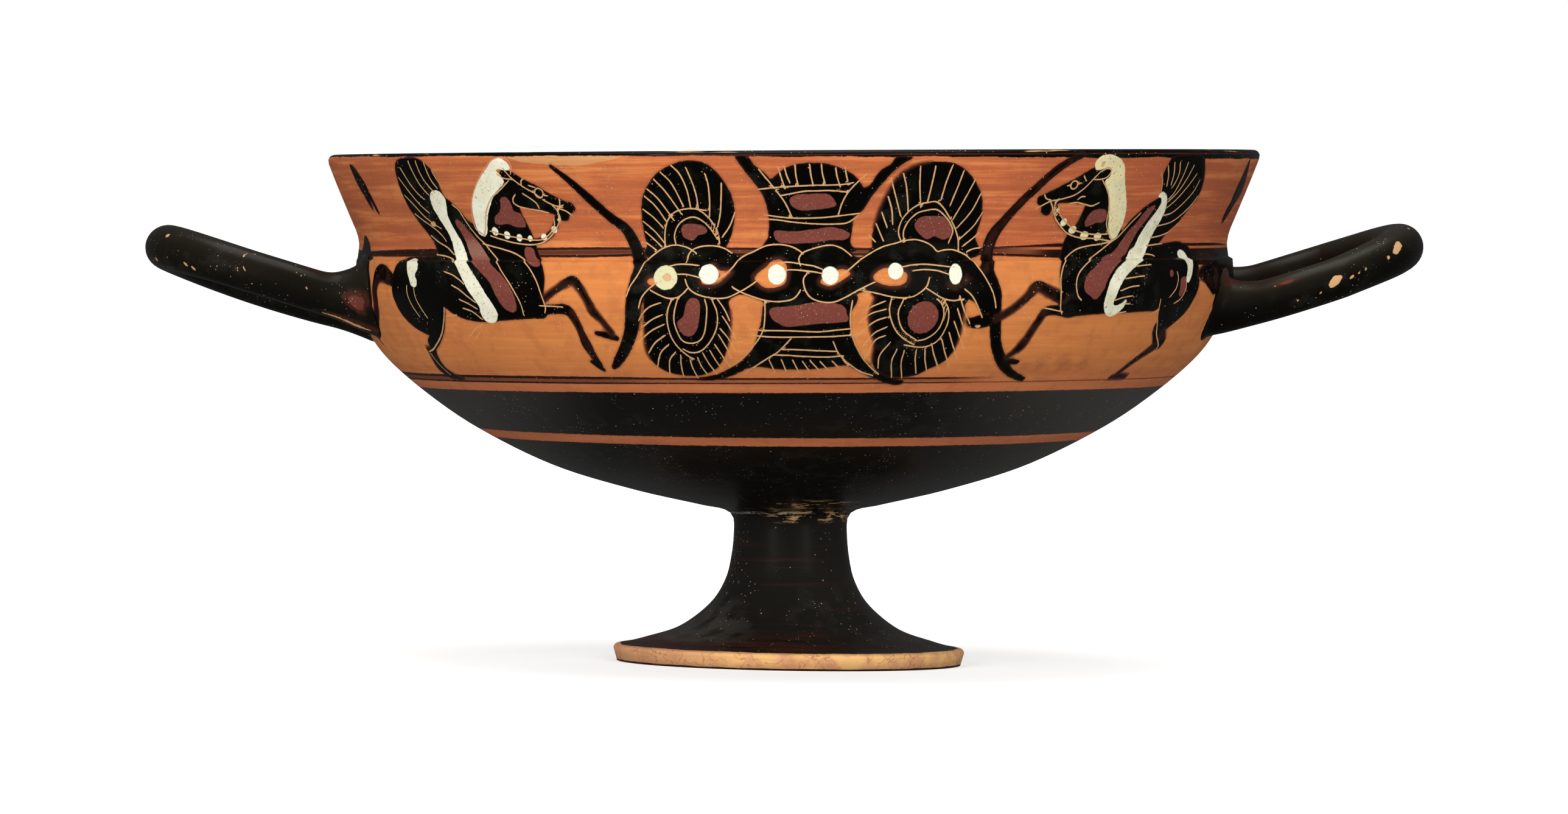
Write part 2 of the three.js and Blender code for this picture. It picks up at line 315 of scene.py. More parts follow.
def left_horse_lines(art):
    """The lines scratched through it, first on the mane and the face."""
    for line in (
        [(-95.5, 118), (-98.2, 120), (-98, 124), (-96, 128.5), (-92, 133.3), (-88, 137), (-84.5, 139),
         (-81.5, 138.6), (-80.3, 136.8), (-81, 134.8)],
        [(-82.3, 132.7), (-85.5, 130.5), (-89.5, 128), (-92.7, 124.2), (-94.3, 120.5), (-95.7, 118)],
        [(-85.3, 134.5), (-84, 133.6), (-82.5, 133.3), (-81, 133.2)],
        [(-83, 135.9), (-81, 133.5), (-78, 131.2), (-75, 129.5), (-72.5, 127.6), (-70, 126.3),
         (-68.3, 125.9), (-67, 126.2)],
        [(-77.3, 133.4), (-78.2, 132.8), (-78.4, 131.9)],
    ):
        art.cut(*line)
    art.ring((-73.5, 129.5), 1.3)
    for line in (
        [(-76.1, 131.5), (-74.5, 131)],
        [(-72.3, 128.9), (-71.1, 128.7)],
        [(-81.2, 129), (-82.2, 128), (-82.4, 127), (-81, 126), (-79, 125.5), (-77, 125.1), (-74.5, 124.8),
         (-72, 124.2)],
        [(-78.5, 129.3), (-76.5, 128), (-75, 126.8), (-74.5, 125.6)],
        [(-67.7, 127.8), (-67.9, 126.4), (-68.7, 124.8)],
        [(-68, 125.2), (-66.5, 124.7), (-65, 123.6)],
        [(-70, 126), (-69.2, 125), (-68.6, 123), (-68.9, 121.8)],
        [(-93, 119.3), (-90, 118.6), (-87, 118), (-83.5, 117.5), (-80, 117), (-77, 116.9), (-75, 117.3),
         (-72.8, 118.7), (-71, 120.6), (-70.6, 122.8)],
        [(-93.2, 118), (-90, 117.2), (-86, 116.3), (-82, 115.8), (-78.5, 115.7), (-75.5, 116.3),
         (-73, 117.7), (-70.7, 119.8), (-69.2, 121.8), (-69, 123.5)],
    ):
        art.cut(*line)
    # Shoulder, foreleg, back and ribs
    for line in (
        [(-104.5, 126.4), (-102.7, 125), (-101.5, 122.5), (-100, 119.8), (-98, 117.5), (-96, 116),
         (-94, 114.3), (-90.5, 111.5), (-88, 108.5), (-85, 105.2), (-83, 102.5), (-81.8, 99.8),
         (-81.6, 97)],
        [(-96.5, 115.9), (-93, 115.2), (-89, 114.4), (-85, 113.4), (-81.5, 111.8), (-79, 109.7),
         (-77, 107.2), (-75.5, 104.5), (-74.4, 101.5), (-73.9, 99), (-74.4, 97.8)],
        [(-75.6, 99.5), (-72, 99.4), (-68.5, 99.2)],
        [(-115.5, 112.9), (-112, 112.6), (-109, 112), (-106.7, 111)],
        [(-110, 108.4), (-106.5, 107.5), (-103.8, 106.3), (-102, 105.2)],
        [(-106.7, 104.8), (-103.5, 103.6), (-100.8, 102), (-98, 100.3)],
        [(-104, 101), (-101, 100), (-98, 98.6)],
        [(-103.2, 98.7), (-100, 97.8), (-97, 95.8)],
    ):
        art.cut(*line)
    # Wing feathers
    for line in (
        [(-118, 118), (-115, 116.3), (-111, 114.8), (-108, 113)],
        [(-122.3, 123.9), (-119.5, 122.2), (-116, 120.3), (-113.5, 118.6), (-111.7, 116.7)],
        [(-124.3, 129), (-121.5, 126.5), (-118.5, 123.5), (-115.5, 121.5), (-112.7, 120)],
        [(-124.3, 133.8), (-121.5, 130), (-118.5, 126.5), (-115.5, 124.2)],
        [(-122, 136.5), (-120, 132.5), (-118, 129.8), (-115.8, 128)],
        [(-117.5, 138.2), (-116.7, 135), (-115.5, 132), (-113.2, 129.2)],
        [(-114.3, 138.2), (-113.8, 135), (-112.5, 132.3), (-110.3, 129.8)],
        [(-111, 138), (-110.7, 135.5), (-110, 133), (-108.6, 131)],
        [(-108.6, 135.6), (-107.8, 133.6), (-106.4, 131.3)],
    ):
        art.cut(*line)
    # Rump and hind leg
    for line in (
        [(-128, 104.5), (-127.6, 101.5), (-126.5, 99), (-124.6, 96.3)],
        [(-124.2, 104), (-123.7, 101), (-122.5, 98.8), (-120.8, 96)],
        [(-111.3, 98.7), (-113, 95.8), (-116, 92.6), (-119, 90.5), (-122.5, 88.8), (-126, 87.4),
         (-129, 86.8)],
        [(-128.9, 86.2), (-129.1, 84.4), (-129, 82.6), (-128.2, 80.6)],
        [(-111.5, 96.6), (-107, 96.8)],
        [(-104.6, 91.2), (-101, 93.2), (-97.6, 94.4)],
        [(-102.4, 90.6), (-100.2, 92)],
    ):
        art.cut(*line)


def right_horse(art):
    """The winged horse right of the middle, which trots to the left: its body, wing and legs in black."""
    art.area("black", (70.5, 111), (69.8, 108), (70, 104), (70.5, 99.5), (72, 96.5), (76, 96.3), (86, 96.8),
             (95, 97), (104, 97.3), (108.8, 97.4), (110, 98.2), (111.5, 95.5), (113.5, 93.5), (116.5, 92),
             (119, 92.5), (122.5, 94.5), (126, 97), (128.5, 100.5), (130.5, 104.5), (130.9, 108),
             (129, 113), (126, 115), (121, 116), (116, 115.8), (108, 115), (98, 117), (92, 120), (89, 127),
             (84.5, 133), (78, 130), (76.5, 125), (75.5, 121), (73, 117.5), (71.5, 114))
    art.area("black", (79.5, 136.2), (75.7, 135.3), (72.5, 133.5), (68.5, 131.5), (65, 129.8),
             (62, 128.5), (60.7, 127.8), (61, 126), (62.5, 125.3), (62.7, 124), (64.2, 123), (65.7, 123.2),
             (66, 124.5), (66.7, 125.9), (71, 126.2), (76, 125.9), (82, 127), (85, 131), (83.5, 135))
    art.area("black", (102.7, 134.5), (103.3, 136.5), (104.7, 138.3), (112, 139), (118.5, 138.6),
             (121, 136.5), (122.3, 134.6), (123.5, 132.5), (124.1, 129.5), (123.5, 127), (121, 124.5),
             (118, 121), (115, 119), (112.5, 117), (110, 115.2), (100, 110), (93, 113), (94, 120),
             (99, 125), (104, 127.6), (104.2, 129.2), (103.5, 131), (102.7, 133))
    for leg in (
        [(72.5, 100.4, 4), (71, 101, 3.4), (67, 102.7, 3.2), (62.5, 104.3, 3), (59.5, 101.5, 2.4),
         (56.5, 99, 2.2), (53.5, 97, 2.2), (51.3, 96, 2.4)],
        [(76, 97.4, 2.6), (74, 97.3, 2.8), (70, 98, 2.8), (66.3, 97.6, 2.6), (64.5, 94.5, 2.4),
         (63, 91, 2.4), (61.8, 88.6, 2.8), (59.8, 86.6, 1.6), (57.8, 85, 1.4)],
        [(57, 84.8, 1.2), (60, 84.4, 1.8), (63.1, 84.2, 1.2)],
        [(114.5, 93.4, 6), (117, 90.5, 5), (120, 88.8, 3.6)],
        [(119.5, 88.8, 3), (117, 87.6, 3), (114.5, 86, 2.4), (112.5, 84.5, 2.2), (110.5, 82.6, 2),
         (109, 80.6, 2)],
        [(107, 79.6, 1.2), (111, 79.8, 1.7), (115.5, 79.6, 1.2)],
    ):
        art.stroke("black", *leg)
    art.area("black", (130.2, 107.8), (133, 109.3), (138, 110.2), (145, 110.4), (152, 109.8), (152, 103),
             (143, 101.5), (138, 103), (134, 105), (130.6, 106.1))
    for thin in (
        [(130.5, 107, 3), (135, 107.3, 4.4), (141, 106.3, 6), (148, 105.5, 6)],
        [(118, 91, 4), (119.5, 88.8, 3.6), (116, 86.9, 3.4), (112, 84, 2.8), (109, 80.6, 2.6)],
        [(107, 79.6, 2.2), (115.5, 79.6, 2.2)],
        [(72, 101, 3), (66, 103, 3.4), (61, 103.4, 2.6), (56.5, 99, 2.4), (51.3, 96, 2.6)],
        [(66, 97.5, 1.8), (63.4, 92, 2.6), (61.8, 88.6, 3), (58.5, 85.2, 2.4)],
    ):
        art.stroke("thin", *thin)


def right_horse_colours(art):
    """Its white mane, wing edge, rump and bridle, and its red cheek and wing."""
    art.area("white", (76.5, 137.3), (78, 138.5), (81, 138.9), (84, 138), (86.5, 136), (88, 132.5),
             (90, 129), (91.7, 125.5), (92.5, 122), (92.2, 118.5), (90.5, 116.5), (89, 117), (87.5, 119.5),
             (86, 123.5), (84.7, 127), (83, 129.5), (81.2, 131.8), (82.5, 133.5), (82, 135), (80, 135.2),
             (77.5, 134.8), (76.5, 136))
    art.area("white", (104, 128.7), (105.5, 129), (107.5, 128), (108.7, 126), (109, 123.5), (108.2, 120.5),
             (106.5, 117), (104.7, 114), (102.5, 111.7), (99, 110), (95.5, 108), (93, 106), (91, 103.5),
             (90, 101), (89.7, 99.5), (91, 99), (93, 99.7), (94.2, 100.7), (94.7, 100.2), (94, 98.5),
             (92, 96.7), (89.5, 96.1), (87.5, 97), (86.2, 99), (86.1, 101.5), (87, 104.5), (89, 107.5),
             (92, 110), (95, 111.5), (97, 113.5), (99.5, 115), (101, 117.5), (103, 121), (105, 124),
             (106, 126), (105.2, 127.5), (103.7, 127.7))
    art.area("white", (120.2, 113), (121.4, 113.8), (123.8, 113.4), (126, 111.8), (127, 109.8),
             (126, 107.2), (124, 105), (122.2, 105.4), (123.2, 107.6), (123.4, 109.6), (122, 111),
             (120.6, 111.8))
    art.area("red", (78.2, 121), (78.5, 122.5), (80, 124.2), (82.5, 124.7), (84.7, 124.2), (85.5, 122.5),
             (85, 121.2), (82.5, 121), (80, 120.2), (78.7, 120.2))
    art.area("red", (104, 125.5), (101.5, 125), (99.5, 123.2), (98, 121), (96, 119), (94, 116.5),
             (92, 114.5), (90, 113.2), (87.5, 112.5), (84.5, 111), (81.5, 109), (79, 107), (78, 104.5),
             (78.5, 103), (80.5, 101.7), (82.5, 100.7), (84, 102), (85.5, 104), (87, 106.5), (90, 109.5),
             (93, 111.5), (95.5, 113), (98, 116), (100, 119), (102.5, 122.5))
    art.area("red", (119.5, 106), (122, 106.5), (122.5, 104.5), (121, 102), (119.5, 101.2), (118.5, 102),
             (119, 104))
    art.dab("red", (114.5, 107.5), 1)
    art.dab("worn", (79, 136.3), 0.6, 0.8)
    for arc, height, size in ((71, 121.2, 1.1), (74.7, 119.2, 1.3), (79.2, 117.7, 1.5), (84.2, 117.4, 1.4),
                              (68, 124.5, 0.6)):
        art.dab("white", (arc, height), size, min(size, 1.1))
    art.stroke("black", (78, 118, 2), (74, 118.9, 2), (70.6, 120.7, 2), (68.2, 123, 2), (67, 125.2, 1.6))


def right_horse_lines(art):
    """The lines scratched through it, first on the face and the mane."""
    for line in (
        [(78.8, 134.5), (77, 132.5), (75, 130.3), (72.5, 128.5), (70, 127.7), (66.7, 127), (65, 126.8),
         (61, 124.8)],
        [(79, 134.5), (81, 135.4), (82.5, 134.7), (81.7, 133.2), (80, 132.5), (77.5, 132.4)],
        [(80.2, 132.2), (82.5, 130), (84.2, 127.7), (85.5, 124.5), (86.2, 121), (88, 118.5), (90, 116.5)],
    ):
        art.cut(*line)
    art.ring((71.2, 131), 1.1)
    for line in (
        [(69.2, 130.8), (70.1, 131)],
        [(72.3, 131.2), (73.2, 131.5)],
        [(73.7, 133.3), (74.7, 132.1)],
        [(62.7, 128.4), (63.5, 127.4), (65, 127.1)],
        [(73.7, 127.2), (74.5, 127.9), (75.7, 128)],
        [(71.2, 126.1), (73.5, 126.4), (76.5, 125.9), (79, 125.5), (81.2, 126.3)],
        [(67.7, 127.5), (66.7, 126.2), (66.9, 124.5), (68, 123)],
        [(65.2, 126.5), (66.2, 125), (66.7, 123.7)],
        [(68, 125.3), (69, 123.5), (71, 121.7), (73.5, 120.2), (76, 119), (79, 118.4), (83, 118),
         (87.7, 118.1)],
        [(66.9, 123.7), (68.5, 121.7), (71, 119.7), (73.5, 118.2), (77.5, 117.2), (82, 117), (85.5, 116.7),
         (89.5, 116.2)],
    ):
        art.cut(*line)
    # Shoulder and chest
    for line in (
        [(98.5, 123.5), (96, 121.2), (94, 119), (92, 117.2), (90, 116.2), (86, 114), (82, 112), (79, 110.2),
         (76.5, 108), (75.5, 106), (75.4, 103.5), (76.2, 101.7), (77.5, 100.7)],
        [(90, 116.2), (86, 115.5), (81, 115), (77, 114.2), (74, 112.7), (71.7, 110.7), (70.5, 108),
         (70.1, 105), (70.5, 101), (71.2, 98), (71.9, 97.1)],
        [(71.9, 97.6), (68.5, 98.2), (65.2, 98.7)],
    ):
        art.cut(*line)
    # Wing feathers
    for feather in (
        [(101.7, 134), (103.2, 132), (104.2, 129.2)],
        [(103.5, 136), (105, 133.5), (105.8, 130.7)],
        [(106, 136.7), (107.2, 134), (107.6, 131)],
        [(108.5, 136.7), (109.6, 134), (109.2, 131.5), (108.5, 130.2)],
        [(112.2, 136.7), (111.9, 133.5), (110.5, 129), (108.7, 127.2)],
        [(115.5, 136), (114.2, 132.5), (112, 129), (109, 126.5)],
        [(118.4, 133.7), (116, 130.5), (112.5, 127), (109, 124.7)],
        [(121.2, 132), (120, 129), (116, 125.5), (112.5, 123.5), (109, 122.9)],
        [(123.5, 127.9), (121.5, 125.5), (117.5, 122.7), (113.5, 121), (107.7, 120.1)],
        [(118, 120.7), (115, 118.7), (111, 117.6), (106.2, 117)],
        [(112.2, 115.5), (108.5, 115.2), (104.7, 114.9)],
        [(108, 112.2), (106, 112.6), (103.5, 112.7)],
    ):
        art.cut(*feather)
    # Ribs, rump and hind leg
    for rib in (
        [(104.5, 109.9), (101, 109.7), (98.5, 109.5)],
        [(101.5, 106.9), (98.5, 106.7), (93.5, 106.2)],
        [(99.1, 104.3), (95.5, 104), (91.7, 103)],
        [(96.7, 101.6), (93, 101.2), (90, 100.5)],
        [(96.4, 99.5), (94.5, 99.5)],
        [(95.5, 97.4), (92.5, 97)],
        [(117.5, 107.7), (118, 106), (116.7, 103.5), (114, 101.1)],
        [(122.7, 106), (122, 103), (120, 100.5), (117.2, 99.4)],
        [(109.8, 100.5), (110.5, 97), (112.5, 94), (115, 91), (118, 89), (119.8, 87.5), (118, 85.5),
         (115, 83)],
        [(107, 96.5), (110.5, 97.7)],
    ):
        art.cut(*rib)


def left_palmette(art):
    """The palmette left of the lotus: a fan above the chain and one below it."""
    art.area("black", (-31.6, 137.9), (-35.3, 137), (-39.5, 134.7), (-42.4, 131.4), (-44.3, 127.7),
             (-45, 123.5), (-45, 119.3), (-44.5, 116), (-43, 112), (-23.6, 112), (-22.6, 115.2),
             (-21.8, 116.8), (-20.7, 120.2), (-20.1, 124.3), (-20.7, 128.5), (-22.4, 132.2), (-24.9, 135.6),
             (-27.8, 137.5))
    art.area("black", (-43.8, 104), (-44.5, 101.8), (-45.1, 96.8), (-45.7, 92.7), (-46.4, 88.5),
             (-45.7, 85.6), (-44.1, 83.5), (-41.6, 82), (-38.2, 81.2), (-34.1, 80.9), (-30.3, 81.4),
             (-27, 82.7), (-24.5, 85.2), (-22.8, 88.5), (-21.6, 92.7), (-21.2, 96.8), (-21.6, 100.2),
             (-22.8, 103))
    for line in (
        [(-39.3, 115.2), (-39.2, 118.5), (-38.2, 121.8), (-36.2, 124.1), (-33.7, 125), (-30.7, 125.2),
         (-28.7, 124.3), (-26.6, 122.2), (-24.9, 118.9), (-24.5, 116)],
        [(-30.7, 125.2), (-27.6, 124.7)],
        [(-36.4, 116), (-36.6, 118.1), (-35.5, 120.6), (-33.7, 122.2), (-31.2, 123), (-29.1, 122.2),
         (-27, 120.2), (-25.1, 117.2)],
    ):
        art.cut(*line)
    art.area("red", (-34.7, 119.7), (-34.1, 120.8), (-32.4, 121.2), (-29.9, 121), (-28, 120.2),
             (-27.8, 118.9), (-29.1, 118.3), (-30.3, 118.1), (-31.2, 117), (-32.4, 116.8), (-34.1, 117.7))
    for petal in (
        [(-44.5, 116.2), (-41.8, 114.3)],
        [(-44.5, 119.1), (-42.4, 117.2), (-40.3, 115.2)],
        [(-44.7, 121.8), (-42, 119.3), (-39.3, 116)],
        [(-44.3, 125), (-41.8, 122.9), (-39.5, 120.2)],
        [(-43.5, 128.5), (-41, 126), (-38.5, 122)],
        [(-42.6, 130.4), (-39.9, 127.7), (-36.4, 122.2)],
        [(-40.5, 132.9), (-37.8, 129.7), (-34.1, 123.7)],
        [(-38.5, 134.7), (-36, 131.8), (-33.5, 126)],
        [(-35.7, 136.6), (-33.7, 134.3), (-32.2, 130.2), (-31.6, 125.6)],
        [(-32, 136), (-30.7, 132.2), (-29.9, 128.9), (-29.6, 125.4)],
        [(-27.2, 134.3), (-26.6, 131.4), (-26.5, 127.2), (-26.8, 123.1)],
        [(-23.2, 131.8), (-23.5, 127.7), (-24, 123.5), (-24.9, 120.2)],
        [(-20.1, 124.1), (-21.6, 120.6), (-23.7, 117.7)],
    ):
        art.cut(*petal)
    for line in (
        [(-36.8, 101.4), (-38.2, 98.5), (-38.7, 95.2), (-38.2, 91.4), (-36.6, 88.5), (-34.1, 86.2),
         (-32.8, 85.6)],
        [(-35.3, 88.1), (-33.2, 87.2), (-30.3, 87.7), (-27.4, 90.2), (-25.3, 93.9), (-24.9, 97.7),
         (-26, 101)],
        [(-35.3, 101.4), (-36.4, 98.1), (-36.8, 95.2), (-36, 91.8), (-34.9, 90.2), (-32.8, 89.7),
         (-30.3, 90.4), (-28.7, 92.7), (-27.8, 96.8), (-27.6, 99.3), (-28, 101.2)],
    ):
        art.cut(*line)
    art.area("red", (-32.8, 100.6), (-31.6, 101.6), (-30.1, 101.4), (-29.4, 99.7), (-29.7, 96.8),
             (-30.5, 93.9), (-32, 91.8), (-34.1, 91.6), (-35.5, 93.1), (-36, 95.2), (-34.1, 96.8),
             (-33.5, 98.9))
    for petal in (
        [(-40.1, 100.4), (-43.2, 99.3), (-45.1, 97.7), (-46.6, 95.8)],
        [(-39.9, 97.2), (-42.8, 96), (-45.7, 94.1)],
        [(-39.7, 94.7), (-43.7, 92.9), (-47.8, 90)],
        [(-39.9, 91.8), (-43.2, 89.7), (-45.5, 87.2)],
        [(-39.3, 89.3), (-42, 87.2), (-44.1, 83.5)],
        [(-37.8, 87.2), (-39.9, 85.2), (-41.1, 81.4)],
        [(-36.4, 86.4), (-36.9, 83.9), (-37.1, 81.1)],
        [(-33.9, 85.4), (-33.7, 83.1), (-32.9, 80.5)],
        [(-31.6, 85.8), (-31, 83.5), (-29.9, 81.6)],
        [(-29.9, 87), (-28.7, 84.3), (-27, 81.6)],
        [(-27.8, 87.7), (-26.6, 85.2), (-25.3, 82.9)],
        [(-26.2, 89.3), (-24.5, 86.4), (-22.8, 83.5)],
        [(-24.9, 91.8), (-23.2, 88.7), (-22, 85.8)],
        [(-24.3, 93.5), (-22.4, 91), (-20.7, 87.7)],
        [(-23.5, 96.8), (-22, 94.3), (-20.5, 91)],
        [(-24.5, 101.2), (-22.8, 98.5), (-21.7, 95.8)],
    ):
        art.cut(*petal)
    for fringe in ([(-45.4, 99, 1.2), (-46.2, 91, 1.6), (-45.8, 86, 1.4)],
                   [(-21.4, 98, 1.2), (-22, 89, 1.4)]):
        art.stroke("thin", *fringe)


def right_palmette(art):
    """The palmette right of the lotus."""
    art.area("black", (16.5, 112), (16, 115.2), (15.9, 117.7), (16.3, 121.4), (17.2, 125.2), (18.8, 129.3),
             (20.9, 133.1), (23.8, 135.6), (27.2, 137), (31.3, 137.3), (35.5, 136.8), (38.8, 135),
             (41.75, 132.25), (44, 128.9), (45.1, 125.2), (45.3, 121.4), (44.7, 117.7), (44, 112))
    art.area("black", (17.2, 104), (16.4, 101.4), (15.3, 97.25), (16, 93.1), (17.4, 89.75), (17.6, 85.6),
             (18.8, 83.1), (21.3, 81.4), (24.7, 80.4), (28.8, 80.4), (32.2, 81), (35.5, 82.7), (38.8, 84.3),
             (40.9, 87.25), (41.75, 91), (41.75, 95.2), (41.5, 99.3), (41.3, 104))
    art.cut((23.8, 116.4), (22.9, 118.9), (23.4, 121.8), (25.1, 124.3), (27.6, 126.1), (30.1, 126.6),
            (32.2, 126.75), (34.25, 125.2), (36.3, 122.7), (38.4, 119.75), (39.7, 116.8), (39.8, 114.1))
    art.cut((24.7, 116.4), (24.25, 118.9), (25.1, 121.4), (27.2, 123.7), (29.7, 124.5), (32.4, 124.75),
            (34.7, 123.3), (36.75, 121.2), (37.9, 118.9), (37, 116))
    art.area("red", (27.2, 121.4), (28.4, 122.7), (30.5, 123), (34.25, 122.9), (35.9, 121.8),
             (37.6, 119.75), (37.4, 117.7), (35.5, 116.8), (33, 117.7), (30.9, 117), (28.8, 118.3),
             (27.4, 119.75))
    for petal in (
        [(15.1, 118.1), (16.75, 116.4)],
        [(16.75, 121), (19, 116.6)],
        [(18, 123.9), (19.7, 120.2)],
        [(19.25, 128.1), (20.5, 124.75), (21.1, 121)],
        [(19.5, 132.9), (20.9, 128.9), (23, 123.1)],
        [(22.6, 134.1), (23.8, 130.2), (24.9, 124.3)],
        [(26.75, 135.8), (27.2, 130.6), (28.1, 125.4)],
        [(30.7, 136), (30.3, 131.4), (29.75, 126.8)],
        [(35.1, 136.2), (34, 131.8), (33.3, 127.25)],
        [(38.3, 134.75), (37.2, 130.2), (36, 125.8)],
        [(41.75, 132.5), (39.7, 127.25), (37.4, 122.25)],
        [(44, 128.9), (42.2, 124.3), (39, 120)],
        [(45.4, 123.9), (43.4, 120.2), (40.1, 117)],
        [(45.5, 118.5), (43.4, 116.8), (41.1, 115.1)],
    ):
        art.cut(*petal)
    for line in (
        [(21.1, 101.8), (20.7, 98.5), (21.75, 95.2), (23.8, 92.25), (26.75, 90.2), (28.8, 89.3)],
        [(26.3, 89.1), (30.5, 88.5), (33.4, 88.9), (35.7, 90.4), (37, 93.1), (37.4, 96), (36.75, 98.9),
         (35.3, 101)],
        [(24.25, 101), (23.2, 98.1), (23.8, 95.2), (25.5, 92.7), (29.25, 90.4)],
        [(29.7, 90.2), (32.2, 90.8), (34.7, 92.7), (35.8, 95.6), (35.7, 98.1), (34.7, 100.2),
         (33.4, 101.2)],
    ):
        art.cut(*line)
    art.dab("red", (30.2, 96.4), 4.3)
    for petal in (
        [(19.25, 100.7), (15.9, 99.3), (14.7, 98.5)],
        [(19.7, 98.6), (15.9, 97.5), (13, 95.2)],
        [(20.1, 96.5), (16.75, 95.2), (12.8, 91.6)],
        [(20.5, 93.9), (17.2, 92.25), (14.7, 88.9)],
        [(20.3, 91.6), (17.6, 90.2), (15.5, 85)],
        [(22, 89.75), (19.7, 86.4), (19.9, 83.1)],
        [(24.3, 87.9), (23.5, 84.75), (24.7, 80.6)],
        [(26.5, 87.5), (26.4, 84.3), (27.9, 80.4)],
        [(29.9, 87.75), (30.3, 85.2), (31.8, 81.6)],
        [(32.5, 87.75), (33.2, 85.2), (34.75, 82.3)],
        [(34, 89.3), (35.5, 86.4), (38.6, 82.25)],
        [(36.75, 90.4), (38.4, 87.25), (41.5, 82.9)],
        [(38.4, 92.25), (40.1, 89.3), (42.8, 85.4)],
        [(39.2, 95.2), (41.3, 91.8), (44, 87.9)],
        [(39.5, 98.6), (41.3, 95.2), (43.3, 91.9)],
        [(39.7, 102), (41.3, 98.5), (43.75, 94.75)],
    ):
        art.cut(*petal)
    for fringe in (
        [(16.2, 101, 2.4), (15, 97, 3.2), (15.6, 93, 3), (17, 89, 2.6), (17.4, 85, 2)],
        [(41.8, 87, 1.6), (42.3, 92, 2), (41.9, 98, 1.8)],
        [(16.2, 121, 1.6), (17.4, 126, 2), (20, 132, 2.2), (24, 135.8, 1.8), (29, 137.2, 1.2)],
    ):
        art.stroke("thin", *fringe)


